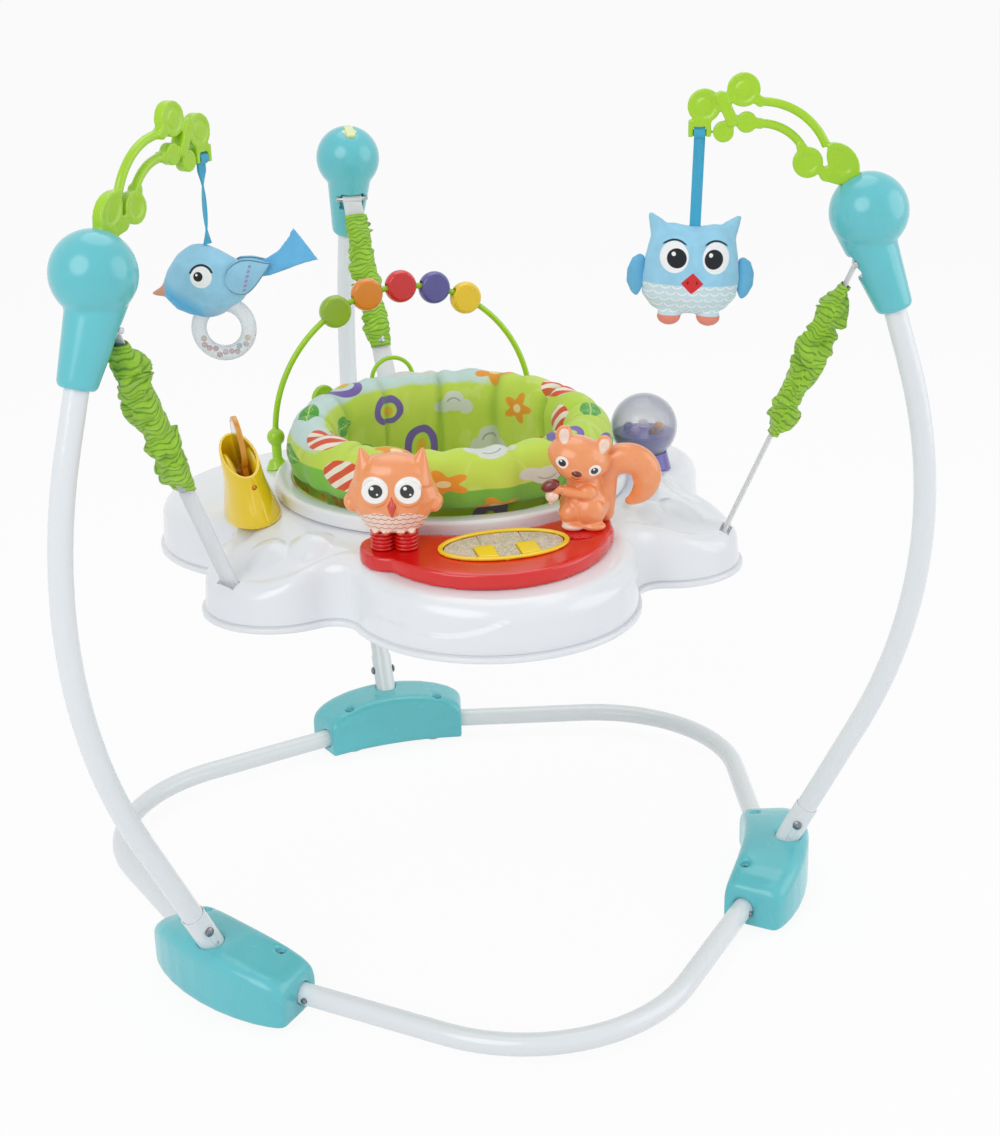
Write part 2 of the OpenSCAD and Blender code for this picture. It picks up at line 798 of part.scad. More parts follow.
module anchor_bars() {
  color("silver") for (direction = POSTS) at_post(direction) along_strap()
    translate([0, 0, strap_l]) rotate([90, 0, 0]) cylinder(r = pin_r, h = webbing_w + 14, center = true);
}

// The spring's body is closed coils; its ends hook the two straps
module strap_springs() {
  low = sleeve_start + strap_tuck + gap;
  high = sleeve_end - strap_tuck - gap;
  coils = 30;
  pitch = (high - low) / coils;
  color("silver") for (direction = POSTS) at_post(direction) along_strap()
    rotate_extrude() polygon(concat([[0, low]],
      [for (k = [0 : coils - 1]) each [[spring_r - 1, low + k * pitch], [spring_r, low + (k + 0.5) * pitch]]],
      [[spring_r - 1, high], [0, high]]));
}

module spring_sleeve(direction) {
  steps = 4 * gathers;
  outer = [for (k = [0 : steps])
    let (s = k / steps, puff = 1 - pow(2 * s - 1, 8), fold = 0.5 - 0.5 * cos(360 * gathers * s))
    [sleeve_in_r + 1.2 + gather_depth * puff * fold, sleeve_start + sleeve_l * s]];
  color("yellowgreen") at_post(direction) along_strap()
    rotate_extrude() polygon(concat([[sleeve_in_r, sleeve_start]], outer, [[sleeve_in_r, sleeve_end]]));
}

module spring_sleeve_left() { spring_sleeve(LEFT); }
module spring_sleeve_right() { spring_sleeve(RIGHT); }
module spring_sleeve_back() { spring_sleeve(BACK); }

// Tray: its outline is three bulges and three strap lobes, joined by hollows that are tangent to both

bulge_mid = [bulge_at, 0];
lobe_mid = lobe_at * [cos(60), sin(60)];
waist_mid = let (a = bulge_r + waist_r, b = lobe_r + waist_r, d = norm(lobe_mid - bulge_mid),
                 along = (a * a - b * b + d * d) / (2 * d), aside = sqrt(a * a - along * along),
                 u = (lobe_mid - bulge_mid) / d)
  bulge_mid + along * u + aside * [u[1], -u[0]];

function angle_of(p) = atan2(p[1], p[0]);
function to_circle(a, mid, r, side) =
  let (t = a - angle_of(mid), c = norm(mid)) c * cos(t) + side * sqrt(max(0, r * r - pow(c * sin(t), 2)));
function waist_angles(inset) = [
  angle_of(bulge_mid + (waist_mid - bulge_mid) * (bulge_r - inset) / (bulge_r + waist_r)),
  angle_of(lobe_mid + (waist_mid - lobe_mid) * (lobe_r - inset) / (lobe_r + waist_r))];

// Angle past the nearest bulge's middle, from 0 to 60
function folded(a) = let (m = ((a + 90) % 120 + 120) % 120) m <= 60 ? m : 120 - m;

// Distance of the outline, drawn in by an inset, from the tray's axis
function cloud(a, inset) =
  let (t = folded(a), limits = waist_angles(inset))
  t < limits[0] ? to_circle(t, bulge_mid, bulge_r - inset, 1)
  : t > limits[1] ? to_circle(t, lobe_mid, lobe_r - inset, 1)
  : to_circle(t, waist_mid, waist_r + inset, -1);

function steps(from, to, n) = [for (k = [0 : n - 1]) from + (to - from) * k / n];
SIXTH = let (w = waist_angles(0)) concat(steps(0, w[0], 6), steps(w[0], w[1], 5), steps(w[1], 60, 6));
TRAY_ANGLES = [for (third = [0 : 2]) each concat(
  [for (a = SIXTH) 120 * third - 90 + a],
  [120 * third - 30],
  [for (k = [len(SIXTH) - 1 : -1 : 1]) 120 * third + 30 - SIXTH[k]])];

function smooth(t) = let (c = min(1, max(0, t))) c * c * (3 - 2 * c);
function crown(r) = crown_z - crown_slope * (r - opening_r);
function lobe_share(a) = smooth((folded(a) - 38) / 16);
function top_z(a, r) =
  let (edge = cloud(a, flange + shoulder_r))
  crown(r) - lobe_drop * lobe_share(a) * smooth((r - lobe_fall_from) / (edge - lobe_fall_from));

// Upright section of the tray's wall at an angle: outside from the opening to the lip, then inside back up
function tray_section(a) =
  let (edge = cloud(a, flange + shoulder_r), edge_z = top_z(a, edge), inside = opening_r - 4,
       top = [for (s = [0, 0.35, 0.6, 0.8]) let (r = inside + (edge - inside) * s) [r, top_z(a, r)]],
       shoulder = [for (t = [0, 30, 60, 90])
         [cloud(a, flange + shoulder_r * (1 - sin(t))), edge_z - shoulder_r * (1 - cos(t))]],
       lip = [[cloud(a, flange - 2), tray_z + lip_h + 6], [cloud(a, flange - 3), tray_z + lip_h],
              [cloud(a, 0), tray_z + lip_h - 2], [cloud(a, 0), tray_z]],
       hollow = [[cloud(a, tray_wall), tray_z], [cloud(a, tray_wall), tray_z + lip_h - 2 - tray_wall],
                 [cloud(a, wall_inset - 1), tray_z + lip_h],
                 [cloud(a, wall_inset), edge_z - shoulder_r],
                 [cloud(a, flange + shoulder_r), edge_z - tray_wall]],
       under = [for (s = [0.8, 0.6, 0]) let (r = inside + (edge - inside) * s) [r, top_z(a, r) - tray_wall]])
  [for (p = concat(top, shoulder, lip, hollow, under)) [p[0] * cos(a), p[0] * sin(a), p[1]]];

// A round mound on the tray's top, level with the slope under it and sunk to the middle of the wall
module mound(angle, distance) {
  r = (mound_d * mound_d / 4 + mound_h * mound_h) / (2 * mound_h);
  reach = mound_d / 4;
  fall = (top_z(angle, distance - reach) - top_z(angle, distance + reach)) / (2 * reach);
  tray_spot(angle, distance, top_z(angle, distance)) rotate([0, atan(fall), 0]) intersection() {
    translate([0, 0, mound_h - r]) sphere(r);
    translate([0, 0, -tray_wall / 2]) cylinder(d = mound_d + tray_wall, h = 2 * mound_h);
  }
}

module tray_shell() {
  color("white") on_tray() difference() {
    union() {
      skin([for (a = TRAY_ANGLES) tray_section(a)], closed = true);
      for (direction = POSTS) mound(direction, mound_out);
      for (direction = INNER_MOUNDS) mound(direction, mound_in);
    }
    translate([0, 0, tray_z]) cylinder(r = opening_r, h = 2 * crown_h);
    for (direction = POSTS) tray_spot(direction, slot_at, slot_z)
      cube([slot_w, webbing_w + 4, 4 * anchor_below], center = true);
  }
}

// Console

// Console frame: level with its sloping top, origin on it at the oval's middle, -Y outwards
module on_console() {
  on_tray() translate([0, -rim_at, crown_z + console_rise - (rim_at - console_in) * tan(console_tilt)])
    rotate([console_tilt, 0, 0]) children();
}

// A broad front curve between two round ends, clear of the seat ring
module console_outline() {
  ends = [[owl_angle - 1, console_owl_r], [squirrel_angle - 3, console_squirrel_r]];
  difference() {
    union() {
      intersection() {
        translate([-3, -console_mid_at]) circle(console_r);
        translate([-2 * console_r, -console_mid_at - 9 - 2 * console_r]) square([4, 2] * console_r);
      }
      for (end = ends) rotate(end[0]) translate([console_in + end[1], 0]) circle(end[1]);
    }
    circle(console_in);
  }
}

// Everything under the tray's top, lifted by a clearance
module under_crown(lift) {
  far = cloud(-90, 0);
  rotate_extrude() polygon([
    [0, 0], [far, 0], [far, crown(far) + lift], [opening_r, crown_z + lift], [0, crown_z + lift]]);
}

module console_body() {
  color("crimson") difference() {
    on_tray() difference() {
      translate([0, 0, tray_z]) linear_extrude(crown_h + 40) console_outline();
      under_crown(fit);
    }
    on_console() translate(-2 * console_r * [1, 1, 0]) cube(4 * console_r);
    on_console() translate([0, 0, -well_depth]) linear_extrude(well_depth + cut)
      ellipse(key_oval + [gap, gap]);
    at_switch() translate([0, 0, -switch_size[2] / 2])
      cube(switch_size + [2 * switch_throw + 2 * gap, 2 * gap, gap], center = true);
    at_squirrel() translate([0, 0, -peg_h - gap]) cylinder(r = peg_r + fit / 2, h = peg_h + cut + gap);
  }
}

module console_rim() {
  color("gold") on_console() translate([0, 0, fit]) linear_extrude(rim_h) difference() {
    ellipse(rim_oval);
    ellipse(key_oval + [gap, gap]);
  }
}

module accent_shape(side, spread) {
  translate([side * key_split, -key_oval[1] / 2])
    square([accent_w + 2 * spread, accent_l + 2 * spread], center = true);
}

module key_plate(from, to) {
  color("lightgrey") on_console() translate([0, 0, rim_h - key_sunk - key_t]) linear_extrude(key_t)
    difference() {
      intersection() {
        ellipse(key_oval - [gap, gap]);
        translate([from + gap / 2, -rim_w]) square([to - from - gap, 2 * rim_w]);
      }
      for (side = [-1, 1]) accent_shape(side, gap);
    }
}

module key_clear_left() { key_plate(-rim_l, -key_split); }
module key_clear_middle() { key_plate(-key_split, key_split); }
module key_clear_right() { key_plate(key_split, rim_l); }

module key_yellow(side) {
  color("yellow") on_console() translate([0, 0, rim_h - key_sunk - key_t]) linear_extrude(accent_t)
    intersection() {
      ellipse(key_oval - [gap, gap]);
      accent_shape(side, 0);
    }
}

module key_yellow_left() { key_yellow(-1); }
module key_yellow_right() { key_yellow(1); }

module at_switch() {
  on_console() translate([switch_at * cos(switch_angle), rim_at + switch_at * sin(switch_angle), 0])
    children();
}

module mode_switch() {
  color("firebrick") at_switch() translate([0, 0, 0.6]) {
    translate([0, 0, -switch_size[2] / 2]) cube(switch_size, center = true);
    for (rib = [-1, 0, 1]) translate([rib * switch_size[0] / 4, 0, 0])
      cube([1.5, switch_size[1], 2], center = true);
  }
}

// Figures on the console, facing outwards

peg_r = 6;
peg_h = 5;
leg_r = 9.5;
rib_depth = 2;
leg_apart = 30;
leg_l_seated = leg_h - 2 * fit;
rib_pitch = leg_l_seated / leg_ribs;

module at_figure(angle, distance) {
  on_console() translate([distance * cos(angle), rim_at + distance * sin(angle), 0])
    rotate([0, 0, facing]) children();
}

module at_owl() { at_figure(owl_angle, owl_at) children(); }
module at_squirrel() { at_figure(squirrel_angle, squirrel_at) children(); }

// Soft ribbed legs
module owl_legs() {
  ribs = [for (k = [0 : leg_ribs - 1]) each [
    [leg_r - rib_depth, k * rib_pitch], [leg_r, (k + 0.3) * rib_pitch], [leg_r, (k + 0.7) * rib_pitch]]];
  color("red") at_owl() for (side = [-1, 1]) translate([side * leg_apart / 2, 0, fit])
    rotate_extrude() polygon(concat([[0, 0]], ribs, [[leg_r - rib_depth, leg_l_seated], [0, leg_l_seated]]));
}

module owl_figure() {
  eye_r = 14;
  eye = [17, -18, 48];
  ear = [27, 0, 68];
  beak = [0, -22, 36];
  color("orange") at_owl() translate([0, 0, leg_h + gap]) {
    blob([[0, 0, 0, 24, 14], [4, 0, 0, 30, 18], [14, 0, 0, 36, 22], [26, 0, 0, 44, 25],
          [37, 0, 0, 49, 26], [48, 0, 0, 45, 26], [58, 0, 0, 40, 25], [68, 0, 0, 37, 23],
          [76, 0, 0, 32, 19], [81, 0, 0, 20, 11]]);
    for (side = [-1, 1]) {
      translate([side * eye[0], eye[1], eye[2]]) rotate([86, 0, 0]) cylinder(r = eye_r, h = 9);
      translate([side * ear[0], ear[1], ear[2]]) rotate([0, side * 16, 0])
        cylinder(r1 = 10, r2 = 2.5, h = 19);
    }
    translate(beak) rotate([96, 0, 0]) cylinder(r1 = 6, r2 = 1.5, h = 9);
  }
}

module squirrel_figure() {
  head = [-11, -2, 48];
  ear = [22, 0, 92];
  tail_root = [0, 12, 0];
  acorn = [-24, -20, 40];
  acorn_r = 9;
  color("indianred") at_squirrel() translate([0, 0, gap]) {
    translate([0, 0, -peg_h - gap]) cylinder(r = peg_r, h = peg_h + gap + 2);
    blob([[0, 0, 0, 26, 20], [3, 0, 0, 30, 23], [18, 0, 0, 31, 24], [36, 0, 0, 27, 22], [52, 0, 0, 20, 18],
          [64, 0, 0, 14, 13]]);
    translate(head)
      blob([[0, 0, 0, 16, 14], [7, 0, 0, 30, 23], [20, 0, 0, 37, 28], [34, 0, 0, 36, 28], [48, 0, 0, 27, 22],
            [56, 0, 0, 12, 10]]);
    for (side = [-1, 1]) translate([head[0] + side * ear[0], ear[1], ear[2]]) rotate([0, side * 24, 0])
      cylinder(r1 = 11, r2 = 3, h = 26);
    translate(tail_root) tail([[12, 50, 10, 9], [24, 64, 13, 11], [40, 72, 15, 12], [56, 70, 16, 12],
                               [67, 58, 15, 11], [68, 45, 11, 9], [59, 36, 7, 6], [50, 33, 3, 3]]);
    translate(acorn) rotate([0, -60, 0]) {
      sphere(acorn_r);
      translate([0, 0, 1 - acorn_r]) cylinder(r1 = acorn_r - 2, r2 = acorn_r + 2, h = 7);
    }
  }
}

// Mirror pedestal and paddle

pedestal_foot = [31, 57];
pedestal_mouth = [19, 33];
pedestal_wall = 3;
mirror_lean = -2;
mirror_t = 6;
pivot_z = pedestal_h - 30;
pivot_r = 3;
pivot_in = 2;
mouth_rise = pedestal_mouth[1] * tan(mouth_slant);
pedestal_waist = (pedestal_foot + 3 * pedestal_mouth) / 4;
waist_z = pedestal_h * 0.6;

module at_pedestal() {
  on_tray() tray_spot(pedestal_angle, pedestal_at, crown(pedestal_at)) rotate([0, atan(crown_slope), 0])
    children();
}

module pedestal_form(inset, from) {
  foot = pedestal_foot - [inset, inset];
  mouth = pedestal_mouth - [inset, inset];
  waist = pedestal_waist - [inset, inset];
  blob([[from, 0, 0, foot[0], foot[1]], [from + 6, 0, 0, foot[0] - 1, foot[1] - 1],
        [waist_z / 2, 0, 0, (foot[0] + waist[0]) / 2, (foot[1] + waist[1]) / 2],
        [waist_z, 0, 0, waist[0], waist[1]],
        [pedestal_h + mouth_rise + inset + 3 * cut, 0, 0, mouth[0], mouth[1]]], 28);
}

module at_pivot() {
  at_pedestal() translate([-pivot_in, 0, pivot_z]) children();
}

module pedestal() {
  far = 4 * pedestal_foot[1];
  color("gold") difference() {
    at_pedestal() pedestal_form(0, fit);
    at_pedestal() pedestal_form(pedestal_wall, pedestal_wall + 2);
    at_pedestal() translate([0, 0, pedestal_h]) rotate([-mouth_slant, 0, 0])
      translate([-far / 2, -far / 2, 0]) cube([far, far, far]);
    at_pivot() rotate([90, 0, 0]) cylinder(r = pivot_r + fit / 2, h = far, center = true);
  }
}

// The paddle swings on a cross pin that runs into the pedestal's walls
module mirror_paddle() {
  pin_l = 2 * (pedestal_waist[1] - pedestal_wall / 2);
  stem = [mirror_t, 16, 24];
  frame_w = 5;
  disc = [mirror_h, mirror_w] / 2;
  color("orange") at_pivot() {
    rotate([90, 0, 0]) cylinder(r = pivot_r, h = pin_l, center = true);
    rotate([0, mirror_lean, 0]) {
      translate([-stem[0] / 2, -stem[1] / 2, 0]) cube(stem);
      translate([0, 0, stem[2] / 2 + mirror_h / 2]) rotate([0, 90, 0]) difference() {
        linear_extrude(mirror_t, center = true) ellipse(disc);
        translate([0, 0, -mirror_t]) linear_extrude(mirror_t - 1) ellipse(disc - [frame_w, frame_w]);
      }
    }
  }
}

// Clear ball that spins in its cup on an upright axle

bubble_lift = 8;
bubble_z = bubble_r + bubble_lift;
bubble_wall = 2;
axle_r = 3;
axle_end = 2.5;
cup_r = 30;
cup_h = 24;
cup_taper = 4;
core_top = -6;
rattler_r = 6.5;
rattler_at = 19;

module at_bubble() {
  on_tray() tray_spot(bubble_angle, bubble_at, crown(bubble_at)) children();
}

module ball_cradle() {
  color("mediumpurple") difference() {
    at_bubble() difference() {
      translate([0, 0, -bubble_lift])
        cylinder(r1 = cup_r + cup_taper, r2 = cup_r - cup_taper, h = cup_h + bubble_lift);
      translate([0, 0, bubble_z]) sphere(bubble_r + gap);
      translate([0, 0, axle_end - gap]) cylinder(r = axle_r + fit / 2, h = cup_h);
    }
    on_tray() under_crown(fit);
  }
}

module clear_ball() {
  color("lightblue", 0.5) at_bubble() {
    translate([0, 0, bubble_z]) difference() {
      sphere(bubble_r);
      sphere(bubble_r - bubble_wall);
    }
    translate([0, 0, axle_end]) cylinder(r = axle_r, h = bubble_lift - axle_end + bubble_wall / 2);
  }
}

// The coloured half and its beads are one moulding
module ball_core() {
  color("purple") at_bubble() translate([0, 0, bubble_z]) {
    difference() {
      sphere(bubble_r - bubble_wall - fit);
      translate([0, 0, core_top + bubble_r]) cube(2 * bubble_r, center = true);
    }
    for (k = [0 : 4]) rotate([0, 0, 72 * k]) translate([rattler_at, 0, core_top + rattler_r / 2])
      sphere(rattler_r);
  }
}

// Bead arch: its frame has X across the feet and Z up, from the middle of its half circle

module at_arch() {
  on_tray() rotate([0, 0, arch_angle]) translate([arch_mid_at, 0, arch_z]) rotate([0, 0, 90]) children();
}

knuckle_r = 11;
foot_r = [6, 15];
foot_cone_h = 12;
loop_r = 27;
loop_rod_r = 3;
loop_angle = 96;
loop_h = 70;
tab_r = 17;
tab_t = 7;
tab_stem_r = 3;
stem_foot = [8, 4.5, 6];
tab_angle = 121;
tab_h = 60;

// A round foot that lies on the tray's sloping top
module arch_foot(angle, r_low, r_high, h) {
  on_tray() tray_spot(angle, arch_at, crown(arch_at)) rotate([0, atan(crown_slope), 0])
    translate([0, 0, fit]) cylinder(r1 = r_low, r2 = r_high, h = h);
}

module arch_rod() {
  sunk = 3;
  color("limegreen") {
    at_arch() rotate([90, 0, 0]) rotate_extrude(angle = 180) translate([arch_r, 0]) circle(rod_r);
    for (side = [-1, 1]) {
      arch_foot(arch_angle + side * arch_half_angle, foot_r[1], foot_r[0] + 2, foot_cone_h);
      at_arch() translate([side * arch_r, 0, 0]) sphere(knuckle_r);
      at_arch() translate([side * arch_r, 0, crown(arch_at) + foot_cone_h - sunk - arch_z])
        cylinder(r = foot_r[0], h = arch_z - crown(arch_at) - foot_cone_h + sunk);
    }
    on_tray() tray_spot(loop_angle, arch_at, 0) rotate([0, 0, 90]) {
      translate([0, 0, crown_z + loop_h]) rotate([90, 0, 0]) rotate_extrude(angle = 180)
        translate([loop_r, 0]) circle(loop_rod_r);
      for (side = [-1, 1]) translate([side * loop_r, 0, crown(arch_at) + sunk])
        cylinder(r = loop_rod_r, h = crown_z + loop_h - crown(arch_at) - sunk);
    }
    on_tray() for (side = [-1, 1]) tray_spot(loop_angle, arch_at, 0) rotate([0, 0, 90])
      translate([side * loop_r, 0, crown(arch_at)]) rotate([0, 0, -90]) rotate([0, atan(crown_slope), 0])
        translate([0, 0, fit]) cylinder(r1 = stem_foot[0], r2 = stem_foot[1], h = stem_foot[2]);
    on_tray() tray_spot(tab_angle, arch_at, crown_z + tab_h) rotate([0, 0, 90]) rotate([90, 0, 0])
      cylinder(r = tab_r, h = tab_t, center = true);
    on_tray() tray_spot(tab_angle, arch_at, crown(arch_at) + sunk) cylinder(r = tab_stem_r, h = tab_h);
    arch_foot(tab_angle, stem_foot[0], stem_foot[1], stem_foot[2]);
  }
}

// A flat bead with a round edge, bored across for the bent rod
module bead(slot, shade) {
  edge_r = bead_t * 0.75;
  bore_r = rod_r + bead_r * bead_r / (2 * arch_r) + gap;
  color(shade) at_arch() rotate([0, -bead_step * (slot - 2), 0]) translate([0, 0, arch_r]) difference() {
    rotate([90, 0, 0]) rotate_extrude() {
      translate([0, -bead_t / 2]) square([bead_r - edge_r, bead_t]);
      intersection() {
        translate([bead_r - edge_r, 0]) circle(edge_r);
        translate([bead_r - edge_r - cut, -bead_t / 2]) square([edge_r + cut, bead_t]);
      }
    }
    rotate([0, 90, 0]) cylinder(r = bore_r, h = 3 * bead_r, center = true);
  }
}

module bead_green() { bead(0, "limegreen"); }
module bead_orange() { bead(1, "orange"); }
module bead_red() { bead(2, "red"); }
module bead_purple() { bead(3, "mediumpurple"); }
module bead_yellow() { bead(4, "gold"); }

// Seat

collar_r = opening_r - fit;
seat_in_r = collar_r - 10;
ring_base = crown_z + gap;
pad_base = ring_base + seat_ring_h + gap;

module seat_ring() {
  keeper = ring_base - tray_wall - 2 * gap;
  color("white") on_tray() rotate_extrude() polygon([
    [seat_in_r, keeper - 6], [collar_r + 4, keeper - 6], [collar_r + 4, keeper - 2], [collar_r, keeper - 1],
    [collar_r, ring_base], [seat_ring_r - 1, ring_base], [seat_ring_r, ring_base + 1],
    [seat_ring_r, ring_base + seat_ring_h - 3], [seat_ring_r - 3, ring_base + seat_ring_h],
    [seat_in_r, ring_base + seat_ring_h]]);
}

// Crowned section of the pad at an angle, drawn in along each sewn channel
function pad_section(a, draw) =
  let (half = [(pad_r - pad_in_r) / 2 - draw, pad_h * 0.64 - draw],
       mid = [(pad_r + pad_in_r) / 2, pad_base + pad_h * 0.36])
  [for (k = [15 : -1 : 0]) let (t = 360 * k / 16, r = mid[0] + half[0] * cos(t) - 6 * max(0, sin(t)),
                               z = max(pad_base, mid[1] + half[1] * sin(t)))
    [r * cos(a), r * sin(a), z]];

module seat_pad() {
  steps = 3 * pad_channels;
  color("khaki") on_tray() skin([for (i = [0 : steps - 1])
    pad_section(360 * i / steps, i % 3 == 0 ? channel_depth : 0)], closed = true);
}

// The sling draws in at shares of its depth
SLING = [[0, 0], [8, 0.22], [40, 0.54], [90, 0.81], [140, 1]];
leg_hole_at = [96, -20];
leg_hole_drop = 138;
leg_hole_lean = 48;

module seat_sling() {
  top = ring_base + seat_ring_h - gap;
  r = seat_in_r - gap;
  outside = [for (p = SLING) [r - p[0], top - sling_depth * p[1]]];
  inside = [for (k = [len(SLING) - 1 : -1 : 1]) outside[k] + sling_t * [-0.6, 0.8]];
  color("wheat") on_tray() difference() {
    rotate_extrude() polygon(concat(
      outside, [[0, top - sling_depth], [0, top - sling_depth + 0.8 * sling_t]],
      inside, [[r - sling_t, top]]));
    for (side = [-1, 1]) translate([side * leg_hole_at[0], leg_hole_at[1], top - leg_hole_drop])
      rotate([0, -side * leg_hole_lean, 0]) cylinder(r = leg_hole_r, h = sling_depth, center = true);
  }
}

// Hanging toys

// A ribbon looped on its bar, hanging down to a drop
module ribbon(drop) {
  rotate([0, 90, 0]) difference() {
    cylinder(r = pin_r + gap + ribbon_t, h = ribbon_w, center = true);
    cylinder(r = pin_r + gap, h = ribbon_w + cut, center = true);
  }
  translate([-ribbon_w / 2, -ribbon_t / 2, -drop])
    cube([ribbon_w, ribbon_t, drop - pin_r - gap - ribbon_t / 2]);
}

module at_hang(direction) {
  at_arm(direction) translate([-hang_at, 0, hang_h]) children();
}

// The hanging toy's own turn: +X along the given heading
module headed(direction, heading) {
  at_hang(direction) rotate([0, 0, heading - direction - arm_turn(direction)]) children();
}

module bird_ribbon() { color("deepskyblue") at_hang(LEFT) ribbon(bird_drop); }
module owl_strap() { color("royalblue") at_hang(RIGHT) ribbon(plush_drop); }

bird_top = -bird_drop - fit;
rattle_mean_r = rattle_r - rattle_tube_r;
channel_cover = 4;
rattle_z = bird_top - bird_h + channel_cover + rattle_tube_r - rattle_mean_r;

// The rattle ring's frame: Z along the ring's own axis
module at_rattle() {
  translate([-10, 0, rattle_z]) rotate([90, 0, 0]) children();
}

module torus(mean_r, r) {
  rotate_extrude() translate([mean_r, 0]) circle(r);
}

module bird_body() {
  half = bird_l / 2;
  color("deepskyblue") headed(LEFT, bird_heading) {
    difference() {
      translate([0, 0, bird_top - bird_h])
        blob([[0, 4, 0, half * 0.2, 12], [4, 4, 0, half * 0.4, 17], [14, 3, 0, half * 0.68, 25],
              [bird_h * 0.4, 2, 0, half * 0.92, 29], [bird_h * 0.58, 3, 0, half * 0.94, 29],
              [bird_h * 0.76, 7, 0, half * 0.74, 25], [bird_h * 0.92, 11, 0, half * 0.44, 15],
              [bird_h, 10, 0, half * 0.16, 6]]);
      at_rattle() torus(rattle_mean_r, rattle_tube_r + gap);
    }
    translate([half - 6, 0, bird_top - bird_h * 0.5]) rotate([0, 99, 0]) cylinder(r1 = 8, r2 = 1.5, h = 18);
  }
}

module bird_tail() {
  tail_x = 3 - bird_l / 2 * 0.94 - 1.5 * gap;
  color("dodgerblue") headed(LEFT, bird_heading) translate([tail_x, 0, bird_top - bird_h * 0.42])
    tail([[0, 0, 5, 4], [-14, 5, 9, 4.5], [-32, 13, 11, 4], [-46, 22, 16, 3], [-56, 29, 22, 1.5]], 10);
}

module rattle_ring() {
  color("lightcyan", 0.6) headed(LEFT, bird_heading) at_rattle() torus(rattle_mean_r, rattle_tube_r);
}

plush_top = -plush_drop - fit;
plush_heading = -15;
plush_aside = 7;

module owl_plush_body() {
  half = plush_w / 2;
  h = plush_h;
  color("steelblue") headed(RIGHT, plush_heading) translate([-plush_aside, 0, plush_top - h]) {
    blob([[0, 0, 0, half * 0.5, 12], [5, 0, 0, half * 0.75, 20], [20, 0, 0, half * 0.96, 28],
          [h * 0.38, 0, 0, half, 31], [h * 0.6, 0, 0, half * 0.94, 29], [h * 0.8, 0, 0, half * 0.86, 24],
          [h * 0.93, 0, 0, half * 0.68, 15], [h, 0, 0, half * 0.4, 5]]);
    for (side = [-1, 1])
      translate([side * half * 0.62, 0, h * 0.84]) rotate([0, side * 30, 0])
        cylinder(r1 = 12, r2 = 2, h = 26);
    for (side = [-1, 1]) translate([side * 18, -8, -4]) sphere(11);
  }
}

module owl_plush_wings() {
  half = plush_w / 2;
  color("lightskyblue") headed(RIGHT, plush_heading) translate([-plush_aside, 0, plush_top - plush_h * 0.44])
    for (side = [-1, 1]) mirror([side < 0 ? 1 : 0, 0, 0]) translate([half + gap, 0, 0])
      tail([[4, 6, 3, 3], [7, 0, 7, 6], [9, -12, 9, 8], [9, -26, 9, 7], [8, -38, 5, 4],
            [7, -43, 1.5, 1.5]], 10);
}

base_tube_front();
base_tube_right();
base_tube_left();
foot_housing_left();
foot_housing_right();
foot_housing_back();
rubber_feet();
snap_buttons();
post_stubs();
post_tube_left();
post_tube_right();
post_tube_back();
post_bolts();
head_left();
head_right();
head_back();
strap_pins();
socket_plug();
toy_arm_left();
toy_arm_right();
top_straps();
strap_springs();
spring_sleeve_left();
spring_sleeve_right();
spring_sleeve_back();
lower_straps();
tray_shell();
anchor_bars();
console_body();
console_rim();
key_clear_left();
key_clear_middle();
key_clear_right();
key_yellow_left();
key_yellow_right();
mode_switch();
owl_legs();
owl_figure();
squirrel_figure();
pedestal();
mirror_paddle();
ball_cradle();
clear_ball();
ball_core();
arch_rod();
bead_green();
bead_orange();
bead_red();
bead_purple();
bead_yellow();
seat_ring();
seat_pad();
seat_sling();
bird_body();
bird_tail();
bird_ribbon();
rattle_ring();
owl_plush_body();
owl_plush_wings();
owl_strap();
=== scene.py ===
"""Looks of a baby jumper: finishes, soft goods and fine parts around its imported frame.

Metres, +Z up, floor at z = 0, front towards -Y. Every piece sits at the origin, with its place
in its mesh. Figures and toys are shaped and painted in millimetres of their own frames.
"""

import json
import math
from functools import partial

import bmesh
import bpy
import numpy as np
from bpy.props import FloatProperty, FloatVectorProperty, IntProperty, PointerProperty
from mathutils import Matrix, Vector, noise
from mathutils.bvhtree import BVHTree

